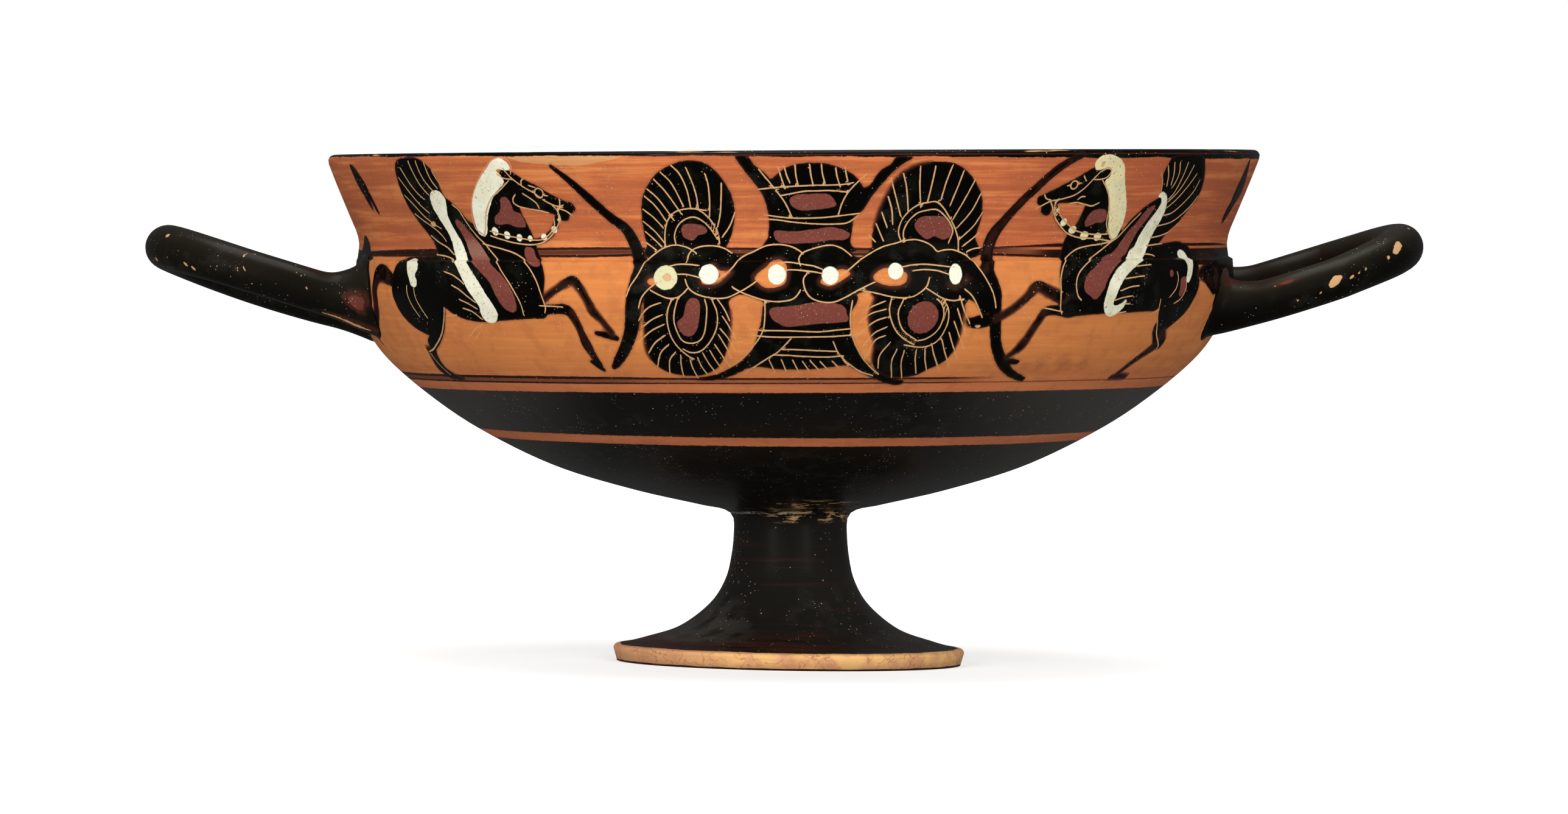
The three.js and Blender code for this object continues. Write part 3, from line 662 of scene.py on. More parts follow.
def chain(art):
    """The interlaced chain that runs across the middle, between the two palmettes."""
    art.area("black", (-49.3, 102.2), (-48.2, 104.8), (-46.2, 107.7), (-44.1, 111.4), (-41.2, 113.9),
             (-36.2, 115.8), (-32, 114.9), (-27, 115.6), (-21.2, 114), (-18.7, 112.8), (-15.3, 114.1),
             (-12, 115.6), (-8.7, 115.9), (-3.7, 114.6), (2.6, 115.4), (9.2, 114.2), (12.2, 112.4),
             (15.5, 113.5), (18.8, 115.2), (24.7, 116.8), (30.5, 116.4), (33.9, 114.2), (38, 114.4),
             (42.2, 112.7), (44.2, 110.6), (46.3, 107.9), (48.4, 104.5), (50.2, 99.5), (47.4, 96.8),
             (44.7, 99.8), (41.6, 101.2), (38, 100.4), (35.1, 101), (31, 103.4), (28.8, 102.6),
             (23.8, 101.2), (16.7, 102.3), (14.2, 103.4), (8.4, 101), (5.5, 100.1), (2.2, 100.3),
             (-1.2, 102.2), (-5.3, 100.8), (-8.7, 100.3), (-12, 100.6), (-18.2, 102.5), (-22, 101.2),
             (-25.3, 101.1), (-31.2, 102.6), (-35.3, 101.2), (-40.3, 101.9), (-43.6, 102.6), (-46.2, 98.7))
    for gap in (
        [(-26, 110.4), (-24.1, 108.9), (-21.2, 108.7), (-22.8, 106.8), (-25.3, 105.2), (-28.7, 105.4),
         (-29, 106.3), (-26.2, 106.4), (-24.4, 107.6)],
        [(-10.3, 111.4), (-8.2, 111.6), (-6.5, 109.8), (-6.8, 106), (-8.6, 104.6), (-12, 104.3),
         (-14.8, 106.4), (-14.5, 107.7), (-12.3, 109.6)],
        [(2.2, 106.2), (4.7, 104.7), (8, 106.4), (10, 108), (7.4, 109.2)],
        [(16.3, 107.7), (19.7, 109.5), (24.7, 108.3), (24.7, 105.7), (21.3, 104.7), (17, 105.8)],
    ):
        art.area("clay", *gap)
    art.dab("clay", (-42.2, 106), 1.3, 1)
    art.stroke("thin", (35.3, 105, 2), (39, 104.7, 2.4), (42.6, 107.4, 2))
    art.stroke("thin", (-26, 105.8, 1.4), (-22, 107.8, 1.4))
    for line in (
        [(-49.3, 102.2), (-48.2, 104.8), (-46.2, 107.7), (-44.1, 111.4), (-41.2, 113.9), (-38.7, 115.2),
         (-36.2, 115.6), (-33.7, 115.1), (-32, 114.3), (-30.7, 113.4)],
        [(-33, 111.1), (-32.9, 112.7), (-32, 114.1), (-29.9, 115.1), (-27, 115.4), (-24.5, 115.1),
         (-22.8, 114.5), (-21.2, 113.5)],
        [(-37.6, 110), (-35.3, 110.5), (-32.4, 110.5), (-29.7, 110.2)],
        [(-35.3, 107.9), (-33.2, 107.9), (-31.2, 107.5), (-29.3, 107)],
        [(-33.2, 106.5), (-32.6, 104.8), (-31.2, 103.3), (-28.7, 102.2), (-25.3, 101.6), (-22, 101.8),
         (-19.1, 103.1), (-16.6, 104.5), (-14, 106.4)],
        [(-42.6, 103.7), (-40.3, 102.5), (-37.8, 101.6), (-35.3, 101.8), (-33.7, 102.9), (-32.4, 104.3)],
        [(-46.2, 99.1), (-45.1, 101.8), (-42.8, 104.3), (-41, 105.6)],
        [(-24.7, 106.5), (-22.8, 107.7), (-20.7, 109.7), (-18.7, 112.2), (-15.3, 113.9), (-12, 115.4),
         (-8.7, 115.7), (-5.7, 115.2), (-3.7, 114.3), (-2.4, 113.3)],
        [(-3, 110.2), (-3.5, 111.8), (-2.4, 113.5), (0.1, 114.5), (2.6, 115.2), (5.1, 115.5), (7.6, 114.8),
         (9.2, 113.7), (10.4, 112.7)],
        [(-8.5, 111), (-5.7, 111), (-2, 110.4), (0.5, 110), (2.8, 109.1)],
        [(-7, 109), (-4.1, 109), (0.5, 108.5), (2.7, 108)],
        [(-20.7, 104.5), (-18.2, 103.1), (-15.3, 102), (-12, 101), (-8.7, 100.7), (-5.3, 101.2),
         (-3.9, 102.2), (-3, 103.6)],
        [(-1.2, 108.1), (-2.2, 106.6), (-1.8, 104), (-0.3, 101.8), (2.2, 100.7), (5.5, 100.5), (8.4, 101.6),
         (11.8, 103.5), (14.2, 104.7), (16.5, 105.8)],
        [(7, 107.2), (9.7, 109.1), (12.2, 111.2), (15.5, 113.3), (18.8, 115), (22.2, 115.9), (24.7, 116.6),
         (27.6, 116.9), (30.5, 116.2), (32.6, 115), (33.9, 113.7), (35.5, 114.1), (38, 114.2),
         (40.1, 113.6), (42.2, 112.5), (44.2, 110.4), (46.3, 107.7), (48.4, 104.3), (49.9, 101),
         (50.6, 98.9)],
        [(13.4, 103.5), (16.7, 102.9), (20.5, 102), (23.8, 101.6), (26.7, 101.9), (28.8, 103.1),
         (30.5, 104.7), (31.2, 106.8)],
        [(30.3, 104.1), (32.6, 102.7), (35.1, 101.4), (38, 100.8), (40.9, 101.2)],
        [(23.8, 109.7), (26.3, 110.2), (29.7, 110.4), (33.4, 110.1), (36.7, 109.7)],
        [(26.7, 108.7), (29.7, 109), (33.4, 108.7), (36.5, 107.7)],
        [(41.1, 103.7), (43, 102.2), (44.7, 100), (47, 96.4)],
        [(42.2, 113.7), (44.2, 114.4), (46.3, 114.7)],
    ):
        art.cut(*line)
    for centre, across, tall in (((-38.5, 107), 3.2, 3.2), ((-27, 107.9), 2.6, 2.6),
                                 ((-9.1, 107.8), 2.3, 2.6), ((4.75, 107.5), 2.2, 2.4),
                                 ((22, 108.6), 2, 2.2), ((38.4, 107.8), 1.8, 2.8)):
        art.dab("white", centre, across, tall)
    art.dab("worn", (-38.2, 107), 1.1)


def lotus(art):
    """The lotus flower and bud in the middle, above and below the chain."""
    art.area("black", (-19.5, 138.9), (-17.4, 135.2), (-14.9, 131.8), (-12.8, 128.5), (-11.6, 124.3),
             (-11.4, 121), (-11.6, 117.7), (-11.8, 113.5), (10.6, 113.5), (10.3, 116), (10.5, 119.3),
             (10.9, 122.7), (13, 124.7), (15.5, 128.9), (18, 132.2), (21.3, 136), (24.7, 138.4),
             (20.5, 138.6), (19.2, 136.8), (16.3, 134.7), (14.2, 131.2), (12.6, 130.6), (12.2, 131.4),
             (10.9, 133.1), (8.8, 134.7), (6.3, 135.8), (3.4, 136.8), (0.1, 137.1), (-2.8, 137),
             (-6.2, 136.2), (-9.1, 134.3), (-10.7, 132.9), (-12, 134.3), (-14.5, 136.4), (-16.6, 138.9))
    art.area("black", (-12.2, 103), (-12.3, 100), (-12.8, 99.3), (-13.2, 96), (-14.3, 92.3), (-15.2, 89.4),
             (-16.6, 87.3), (-19.5, 84.8), (-22.8, 83.1), (-27, 81.4), (-33.3, 80.4), (-33.7, 79.8),
             (-28.7, 79.7), (-23.7, 80.6), (-20.3, 81.8), (-17.8, 82.9), (-14.5, 83.3), (-10.3, 82.8),
             (-6.2, 82.6), (2, 82.8), (6.3, 83.3), (11, 83.6), (15.5, 81.6), (18.8, 80.4), (23, 78.9),
             (26.8, 78.3), (28.8, 78.7), (29, 79.5), (26.3, 80.1), (23, 81), (20.5, 82), (18, 83.3),
             (15.5, 85.2), (13.4, 87.7), (11.8, 90.6), (10.7, 93.9), (10.5, 97.3), (10.5, 103))
    for line in (
        [(-13.9, 130.2), (-10.3, 130.6), (-7.8, 130.8), (-4.1, 131), (0.1, 131.2), (3.4, 131.2),
         (7.6, 131.4), (9.9, 131.8)],
        [(-8.3, 128.5), (-5.3, 129.1), (-2, 129.7), (0.1, 129.7), (4.2, 129.8), (8.8, 129.4)],
        [(-13.7, 135.4), (-11.2, 132.2), (-8.7, 128.9), (-7, 126.4), (-5.3, 122.7)],
        [(13.2, 134), (10.9, 131.8), (8.8, 129.3), (7.4, 126.4), (6.6, 123.3)],
        [(-12.4, 123.5), (-8.3, 122.9), (-4.1, 122.6), (2, 122.7), (6.3, 123.1), (9.7, 123.5), (12, 123.8)],
        [(-13.7, 122.4), (-9.5, 122.2), (-5.3, 121.6), (-1.2, 121.2), (3.8, 121), (7.2, 121.1),
         (9.2, 121.4), (11.7, 123)],
        [(-8.9, 136), (-8.2, 133.5), (-7.2, 130.4)],
        [(-7.4, 136.2), (-6.8, 133.9), (-6, 132)],
        [(-4.7, 136.6), (-4.5, 133.9), (-3.9, 131.2)],
        [(-1.1, 136.6), (-0.75, 133.9), (-0.1, 131.2)],
        [(1.8, 136.6), (2.1, 134.3), (2.9, 131.6)],
        [(5.4, 135.6), (5.9, 133.1), (6.7, 130.9)],
        [(7.7, 135.8), (8.2, 133.5), (8.8, 131.5)],
        [(-12.2, 100.8), (-12.2, 97.7), (-12.6, 93.9), (-13.7, 91.4), (-15.7, 88.9), (-19.1, 85.6),
         (-22.8, 83.3)],
        [(10.7, 100.8), (10.4, 97.2), (10.8, 93.5), (12.2, 89.7), (14.7, 86), (17.6, 83.3), (20.5, 81.4)],
        [(-16.2, 93.4), (-12.4, 93.1), (-6.2, 93), (2, 92.7), (6.3, 93.1), (10.7, 93.5)],
        [(-15.7, 91.8), (-11.2, 91.4), (-6.2, 91.3), (4.25, 91.4), (8, 91.6), (12.4, 91.9)],
        [(-18.2, 82), (-14.5, 84.1), (-11.6, 85.8), (-9.1, 87.2), (-7, 89.1), (-5.4, 90.8)],
        [(6.3, 90), (7.8, 87.2), (10.5, 84.7), (14.7, 82.2), (18.8, 81)],
        [(-7.4, 88), (-4.1, 88), (2, 87.7), (7.2, 87.5)],
        [(-10.1, 86.6), (-6.2, 86.5), (-2, 86.2), (4.7, 86), (9.25, 86.3)],
        [(-11.4, 85.2), (-9.9, 82)],
        [(-7.9, 85.2), (-6.6, 82.2)],
        [(-4.7, 85.1), (-3, 82)],
        [(-1.9, 84.7), (-0.1, 82.5)],
        [(0.2, 85), (3, 82.3)],
        [(3.1, 84.7), (5.5, 82.5)],
        [(6.5, 84.8), (8.4, 83.2)],
        [(9.5, 85.2), (11.1, 83.7)],
    ):
        art.cut(*line)
    art.area("red", (-6, 127), (-5.3, 128.3), (-3.7, 128.8), (-0.75, 128.9), (3.4, 128.9), (4.9, 127.9),
             (6, 126.2), (4.9, 125.4), (2.2, 125), (-2.4, 124.6), (-4.9, 125.4))
    art.area("red", (-10.1, 118.1), (-9.9, 119.3), (-7.8, 119.3), (-4.1, 119.1), (-1.2, 119.5),
             (1.3, 119.7), (4.2, 120.2), (7.6, 119.7), (9.7, 118.7), (9.9, 117.7), (8.4, 116.8),
             (5.5, 116.8), (2.2, 116.4), (-2, 116), (-8.3, 116.1))
    art.area("red", (-11, 98.1), (-10.3, 99.1), (-7, 99.3), (-3.7, 99.7), (0.1, 100.4), (4.25, 100.4),
             (7.2, 100), (9, 98.9), (9.25, 97.7), (10, 96), (9.5, 95.4), (6.3, 95.1), (2.2, 94.8),
             (-2, 94.5), (-6.2, 94.1), (-9.1, 95.2), (-10.5, 96.4))


def tendrils(art):
    """The thin tendrils that leave the chain for the rim and for the ground line."""
    for tendril in (
        [(-68.3, 136.6, 1), (-63.9, 132.9, 1.8), (-59.4, 128.4, 2.4), (-54.2, 123.3, 2.6),
         (-49.8, 119.6, 3), (-46.9, 113.6, 3.5), (-45.4, 109.9, 3.5)],
        [(-45.4, 109.9, 3.5), (-46.1, 105.5, 5), (-47.6, 99.6, 4.5), (-49.1, 93.7, 4), (-52.1, 88.5, 3.2),
         (-55.8, 84.8, 2.4), (-58, 83.1, 1.2)],
        [(72, 139, 1.8), (68.3, 137.4, 2), (64.6, 135, 2.2), (60.9, 131.6, 2.2), (56.5, 127, 2.4),
         (52.8, 122.5, 2.6), (49.8, 118, 3.5), (48.3, 113.6, 3.5), (47.4, 109, 4)],
        [(66, 135, 0.6), (62.6, 132.2, 0.9), (59, 128.4, 1)],
        [(47.6, 108, 4), (49.4, 103, 4.4), (50.4, 98, 4), (51.5, 94.5, 3.4), (53.5, 89.2, 3.1),
         (57.2, 84.8, 2.8), (62.4, 81.5, 2), (69, 79.5, 1.2)],
    ):
        art.stroke("black", *tendril)
        if tendril[0][0] > 70:
            art.stroke("thin", *[(arc, height, width * 0.6) for arc, height, width in tendril[1:]])
    art.area("black", (42.4, 95.6), (45, 96.6), (48.4, 97.2), (51, 96.2), (50.6, 94.4), (47.4, 93.4),
             (44.2, 93.6))
    art.dab("worn", (46.3, 93.9), 0.9, 0.5)


def handle_roots(art):
    """The glaze round the handles' roots and the leaf on the lip above each handle."""
    art.area("black", (-153.2, 105.6), (-155, 108.6), (-155.6, 111.5), (-158.6, 112.8), (-163.5, 113.4),
             (-169, 113.2), (-180, 112.8), (-190, 112.6), (-196, 105.5), (-190, 94), (-182, 90.4),
             (-173, 91.9), (-167, 94.1), (-162.6, 95.6), (-157.8, 97.2), (-154.8, 98.9), (-152.8, 101),
             (-152.3, 103))
    art.area("black", (-178, 110.5), (-174.5, 112.8), (-171.8, 114.6), (-169.5, 116.6), (-166.8, 117.8),
             (-164.2, 117.7), (-161.9, 116.2), (-160, 114.2), (-159, 112.2), (-160, 109.8))
    art.area("black", (-152.6, 137), (-151, 137.6), (-148.6, 136.2), (-145.8, 133), (-144.6, 129.6),
             (-143.6, 125.8), (-143.4, 123.6), (-144.8, 124.6), (-146.2, 127.6), (-146.8, 125.2),
             (-148.6, 126.4), (-150.4, 129.6), (-152, 133))
    art.area("black", (139.8, 109), (140.8, 106), (143.2, 103.4), (144.4, 101), (145, 98.6), (147.6, 97.2),
             (153, 96.6), (160, 96), (168, 96), (182, 98), (190, 105), (182, 112.6), (168, 114),
             (152, 113.4), (145.4, 111.8))
    art.area("black", (153.8, 137.6), (152.6, 134), (151.4, 129.4), (151.4, 126.4), (153, 124.4),
             (157.4, 125.6), (161, 128), (160.8, 131), (158, 134.4), (155.4, 137.2))
    art.area("black", (152.4, 127), (150, 124.4), (149.8, 121.8), (152, 120.8), (154.4, 122.6),
             (156.4, 124.6), (156, 126.8))
    for leaf in ([(-149, 136, 3), (-147, 125, 1.6)], [(153, 125, 3), (151.4, 121.6, 2)]):
        art.stroke("thin", *leaf)


ORNAMENT = (left_palmette, right_palmette, chain, lotus, tendrils)


def picture():
    """The whole drawing on the front of the cup."""
    art = Art()
    for part in (left_horse, left_horse_colours, left_horse_lines,
                 right_horse, right_horse_colours, right_horse_lines,
                 *ORNAMENT, handle_roots):
        part(art)
    return art


def plain_back():
    """The hidden side: the same flowers and chain, with no animals and no scratched lines."""
    art = Art()
    for part in ORNAMENT:
        part(art)
    art.marks["cut"] = art.marks["cut_too"] = []
    return art.moved(lambda line: np.column_stack([-line[:, 0], line[:, 1]]))


def ease(value, low, high):
    """A smooth step from 0 at `low` to 1 at `high`."""
    t = np.clip((value - low) / (high - low), 0, 1)
    return t * t * (3 - 2 * t)


def set_out_of_true(points):
    """The tilt of the bowl and its lip and the gentle lean of the axis, from the top of the foot upwards."""
    x, y, z = np.moveaxis(points, -1, 0)
    bowl, lip = ease(z, FOOT_TOP, TILT_FULL), ease(z, LEDGE, CUP_HEIGHT)
    return np.stack([x - AXIS_LEAN * np.maximum(0, z - FOOT_TOP) * bowl, y,
                     z + x * (BOWL_TILT * bowl + LIP_TILT * lip)], -1)


def length_along(line):
    """How far along a line each of its points is."""
    return np.r_[0, np.cumsum(np.linalg.norm(np.diff(line, axis=0), axis=1))]


class Body:
    """The thrown body: the sheet's rows run along its profile, its columns round it."""

    # Past this length of profile from the resting ring, the outside only widens up to the rim
    PAST_FOOT = 60
    # The ledge is wiped away over these arcs and heights, at the back of the left handle
    WIPED_DEPTH = 0.9
    WIPED_STARTS = (-210, -198)
    WIPED_ENDS = (-182, -170)
    WIPED_RISES = (102, 108)

    def __init__(self):
        # Each stretch of the profile, with the number of rows it gets
        runs = [(smooth_line(UNDERSIDE), 9), (np.array(RING, float), 3), (round_edge(**FOOT_EDGE), 4),
                (smooth_line(SPREAD + BOWL[:1])[:-1], 34), (smooth_line(BOWL), 36), (smooth_line(LIP), 8),
                (round_edge(**RIM), 7), (smooth_line(INSIDE), 26)]
        self.line = np.vstack([points for points, _ in runs])
        self.along = length_along(self.line)
        stations, passed, marks = [], 0, []
        for points, rows in runs:
            start, end = self.along[passed], self.along[passed + len(points) - 1]
            stations.append(np.linspace(start, end, rows))
            marks.append((start, end))
            passed += len(points)
        self.stations = np.concatenate(stations)
        _, ring, _, _, bowl, lip, rim, _ = marks
        self.ring_end, self.ledge, self.rim_top = ring[1], (bowl[1], lip[0]), sum(rim) / 2
        self.rows = len(self.stations) - 1

    def run(self, row):
        """How far along the profile a row is."""
        return np.interp(row, np.arange(len(self.stations)), self.stations)

    def radius_and_height(self, row):
        """The profile at a row."""
        along = self.run(row)
        return np.interp(along, self.along, self.line[:, 0]), np.interp(along, self.along, self.line[:, 1])

    def wiped(self, arc, row, height):
        """How much of the ledge is wiped away."""
        share = ease(arc, *self.WIPED_STARTS) * (1 - ease(arc, *self.WIPED_ENDS))
        share = share * ease(height, *self.WIPED_RISES)
        return self.WIPED_DEPTH * share * np.interp(self.run(row), self.ledge, (1, 0))

    def place(self, arc, row):
        """The rolled-up place of points of the sheet."""
        radius, height = self.radius_and_height(row)
        radius = radius - self.wiped(arc, row, height)
        turn = arc / ARC_RADIUS + PICTURE_TURN
        return set_out_of_true(np.stack([radius * np.sin(turn), -radius * np.cos(turn), height], -1))

    def wall(self, height):
        """The outside radius at a height of the bowl or lip."""
        part = slice(*np.searchsorted(self.along, (self.ring_end + self.PAST_FOOT, self.rim_top)))
        return np.interp(height, self.line[part, 1], self.line[part, 0])


class Rod:
    """One handle: the sheet's columns run round the rod, its rows from one root to the other."""

    columns = 36
    rows = 104
    # How much of the rows' even spacing is drawn towards the two roots
    CROWDING = 0.1125
    # A root is thicker than the rod by this share, over this length, and lies this much higher
    FLARE = 0.32
    FLARE_LENGTH = 11
    FLARE_LIFT = 1.2
    # The swelling takes in more of the rod's upper side than of its underside
    TOP_BIAS = 0.8
    # The wall is looked for between these lengths along the middle line, at so many angles, by halving
    SEARCH = (0.8, 26)
    ANGLES = 73
    HALVINGS = 30
    # The last stretch is drawn onto the wall, a hair inside it, and the closed end lies deeper in it
    DRAWN_IN = 5
    SUNK = 0.04
    END_DEPTH = 2.2
    # Half the length over which the middle line's direction is taken
    AHEAD = 0.7

    def __init__(self, body, side, reach, root, twist, sag_front, sag_back, fillet, beneath):
        self.body, self.reach, self.fillet, self.beneath = body, reach, fillet, beneath
        turn = math.radians(twist)
        self.line = smooth_line(self.middle_line(side, reach, root, turn, sag_front, sag_back), 0.5)
        self.along = length_along(self.line)
        self.length = self.along[-1]
        self.up = np.array([-side * LOOP_SLOPE, -math.sin(turn), 1])
        self.up /= np.linalg.norm(self.up)
        self.angles = np.linspace(0, 2 * math.pi, self.ANGLES)
        self.roots = [self.meet(self.angles, front) for front in (True, False)]

    @staticmethod
    def middle_line(side, reach, root, turn, sag_front, sag_back):
        """Points of the middle line: in from the wall, out along one arm, round the loop and back."""
        tip = reach - ROD * TIP_SWELL
        arm = [(ROOT_OUT - 6, ROOT_SPAN - 0.6), (ROOT_OUT + 3, ROOT_SPAN), (ROOT_OUT + 16, ROOT_SPAN),
               (ROOT_OUT + 30, ROOT_SPAN - 1), (tip - 15, ROOT_SPAN - 4), (tip - 4, 14)]
        plan = [(out, -across) for out, across in arm] + [(tip, 0)] + arm[::-1]
        points = []
        for out, across in plan:
            share = (out - ROOT_OUT) / (tip - ROOT_OUT)
            sag = (sag_front if across < 0 else sag_back) * max(0, math.sin(math.pi * share))
            rise = (out - ROOT_OUT) * LOOP_SLOPE + across * math.sin(turn) - sag
            points.append((side * out, across * math.cos(turn), root + rise))
        return points

    def centre(self, along):
        """Points of the middle line."""
        return np.stack([np.interp(along, self.along, self.line[:, k]) for k in range(3)], -1)

    def surface(self, angle, along, radius):
        """Points round the middle line; the angle is 0 on the upper side."""
        middle = self.centre(along)
        ahead = self.centre(along + self.AHEAD) - self.centre(along - self.AHEAD)
        ahead /= np.linalg.norm(ahead, axis=-1, keepdims=True)
        across = np.cross(ahead, self.up)
        across /= np.linalg.norm(across, axis=-1, keepdims=True)
        over = np.cross(across, ahead)
        turned = np.cos(angle)[..., None] * over + np.sin(angle)[..., None] * across
        return middle + radius[..., None] * turned

    def outside(self, points):
        """How far points are outside the wall."""
        return np.hypot(points[..., 0], points[..., 1]) - self.body.wall(points[..., 2])

    def swelling(self, angle):
        """How far a root swells on each side of the rod, and the share of the fillet it has there."""
        flare, share, _ = self.beneath
        top = (0.5 + 0.5 * np.cos(angle)) ** self.TOP_BIAS
        return self.FLARE * top + flare * (1 - top), top + share * (1 - top)

    def meet(self, angles, front):
        """How far along each side of the rod is where it meets the wall."""
        low, high = (np.full(len(angles), float(end)) for end in self.SEARCH)
        root_radius = ROD * (1 + self.swelling(angles)[0])
        for _ in range(self.HALVINGS):
            middle = (low + high) / 2
            along = middle if front else self.length - middle
            out = self.outside(self.surface(angles, along, root_radius)) > 0
            low, high = np.where(out, low, middle), np.where(out, middle, high)
        return (low + high) / 2

    def thickness(self, angle, along, away):
        """The rod's radius: it swells and is filleted at the roots, and swells a little at the tip."""
        amount, filled = self.swelling(angle)
        longer = self.beneath[2] - self.FLARE_LENGTH
        length = self.FLARE_LENGTH + longer * (0.5 - 0.5 * np.cos(angle))
        flare = np.clip(1 - away / length, 0, 1) ** 2
        tip = ease(np.abs(self.centre(along)[..., 0]) - ROOT_OUT, 30, self.reach - ROOT_OUT)
        fillet_long, fillet_tall = self.fillet
        inner = np.clip(1 - away / fillet_long, 0, 1)
        radius = ROD * (1 + amount * flare + (TIP_SWELL - 1) * tip)
        return radius + fillet_tall * filled * (1 - np.sqrt(1 - inner ** 2))

    @staticmethod
    def move_in(points, depth):
        """Moves points towards the cup's axis."""
        shrink = 1 - depth / np.hypot(points[..., 0], points[..., 1])
        points[..., :2] *= shrink[..., None]

    def place(self, around, row):
        """The place of points of the sheet; the first and last row close the rod inside the wall."""
        angle = around / ROD
        start, end = (np.interp(np.mod(angle, 2 * math.pi), self.angles, root) for root in self.roots)
        share = np.clip((row - 1) / (self.rows - 2), 0, 1)
        share = share - self.CROWDING * np.sin(2 * math.pi * share) / math.pi
        along = start + share * (self.length - start - end)
        away = np.minimum(along - start, self.length - end - along)
        points = self.surface(angle, along, self.thickness(angle, along, away))
        points[..., 2] += self.FLARE_LIFT * np.clip(1 - away / self.FLARE_LENGTH, 0, 1) ** 2
        pull = np.clip(1 - away / self.DRAWN_IN, 0, 1) ** 2
        self.move_in(points, (self.outside(points) + self.SUNK) * pull)
        heart = self.centre(np.where(row < 1, start.mean(), self.length - end.mean()))
        heart[..., 2] += self.FLARE_LIFT
        self.move_in(heart, self.outside(heart) + self.END_DEPTH)
        closing = np.where(row < 1, 1 - row, np.clip(row - (self.rows - 1), 0, 1))
        return set_out_of_true(points + (heart - points) * closing[..., None])


def flat_sheet(name, columns, rows, half_width):
    """A flat grid: its columns are measured in millimetres across, its rows are counted upwards."""
    bpy.ops.object.select_all(action="DESELECT")
    bpy.ops.mesh.primitive_grid_add(x_subdivisions=columns, y_subdivisions=rows, size=2)
    sheet = bpy.context.object
    sheet.name = name
    sheet.scale = (half_width, rows / 2, 1)
    sheet.location = (0, rows / 2, 0)
    bpy.ops.object.transform_apply(location=True, rotation=True, scale=True)
    return sheet


def numbers(items, what, width=1, kind=float):
    """A property of every item of a mesh as an array."""
    found = np.empty(len(items) * width, kind)
    items.foreach_get(what, found)
    return found.reshape(-1, width) if width > 1 else found


def cut_finer(sheet, cell, levels, wanted):
    """Cuts the sheet's cells in four where `wanted` says so, each time over cells of half the size."""
    bpy.context.view_layer.objects.active = sheet
    bpy.context.scene.tool_settings.mesh_select_mode = (False, False, True)
    for level in range(levels):
        mesh = sheet.data
        whole = (numbers(mesh.polygons, "loop_total", kind=np.int32) == 4)
        whole &= np.abs(numbers(mesh.polygons, "area") * 4 ** level / cell - 1) < 0.2
        middles = numbers(mesh.polygons, "center", 3)
        picked = np.zeros(len(mesh.polygons), bool)
        picked[whole] = wanted(middles[whole, 0], middles[whole, 1], level)
        for items in (mesh.vertices, mesh.edges):
            items.foreach_set("select", np.zeros(len(items), bool))
        mesh.polygons.foreach_set("select", picked)
        bpy.ops.object.mode_set(mode="EDIT")
        bpy.ops.mesh.subdivide(number_cuts=1, ngon=True)
        bpy.ops.mesh.select_all(action="DESELECT")
        bpy.ops.object.mode_set(mode="OBJECT")


def keep(sheet, name, values):
    """Stores a number for every vertex, for the material to read."""
    attribute = sheet.data.attributes.new(name, "FLOAT", "POINT")
    attribute.data.foreach_set("value", np.full(len(sheet.data.vertices), values, np.float32))


def true_normals(form, across, row):
    """The way that the form faces at points of its sheet, also at its poles."""
    small, last = 0.02, float(form.rows)
    sideways = form.place(across + small, row) - form.place(across - small, row)
    onwards = form.place(across, np.minimum(row + small, last))
    onwards = onwards - form.place(across, np.maximum(row - small, 0))
    normals = np.cross(sideways, onwards)
    long = np.linalg.norm(normals, axis=1, keepdims=True)
    straight = np.tile([0, 0, 1.0], (len(normals), 1)) * np.where(row < last / 2, -1, 1)[:, None]
    return np.where(long > 1e-9, normals / np.maximum(long, 1e-9), straight)


def roll_up(sheet, form):
    """Moves a painted sheet to its place on the form and notes the form's true normals."""
    mesh = sheet.data
    across, row, _ = numbers(mesh.vertices, "co", 3).T
    mesh.vertices.foreach_set("co", (form.place(across, row) * MM).astype(np.float32).ravel())
    facing = mesh.attributes.new("facing", "FLOAT_VECTOR", "POINT")
    facing.data.foreach_set("vector", true_normals(form, across, row).astype(np.float32).ravel())
    mesh.update()
    bpy.ops.object.select_all(action="DESELECT")
    sheet.select_set(True)
    bpy.context.view_layer.objects.active = sheet
    bpy.ops.object.mode_set(mode="EDIT")
    bpy.ops.mesh.select_all(action="SELECT")
    bpy.ops.mesh.remove_doubles(threshold=MERGE * MM)
    bpy.ops.mesh.select_all(action="DESELECT")
    bpy.ops.object.mode_set(mode="OBJECT")


def on_the_wall(body, arc, row):
    """Which points of the sheet are on the painted part of the outside, and their heights there."""
    height = body.radius_and_height(row)[1]
    along = body.run(row)
    outside = (along > body.ring_end) & (along < body.rim_top + 1)
    return outside & (height > PAINTED[0]) & (height < PAINTED[1]), height


class Paint:
    """The front picture and the plainer back, measured at any point of the wall."""

    def __init__(self):
        self.front, self.back = picture(), plain_back()

    def measure(self, sort, arc, height):
        """Distance to the nearest mark of one sort, and the side of it."""
        best, side = nearest_mark(self.front.marks[sort], np.column_stack([arc, height]))
        if sort in BACK_SORTS:
            behind = np.abs(arc) > FRONT
            round_back = np.where(arc > 0, arc - HALF_TURN, arc + HALF_TURN)
            other, _ = nearest_mark(self.back.marks[sort], np.column_stack([round_back, height])[behind])
            best[behind] = np.minimum(best[behind], other)
        return best, side


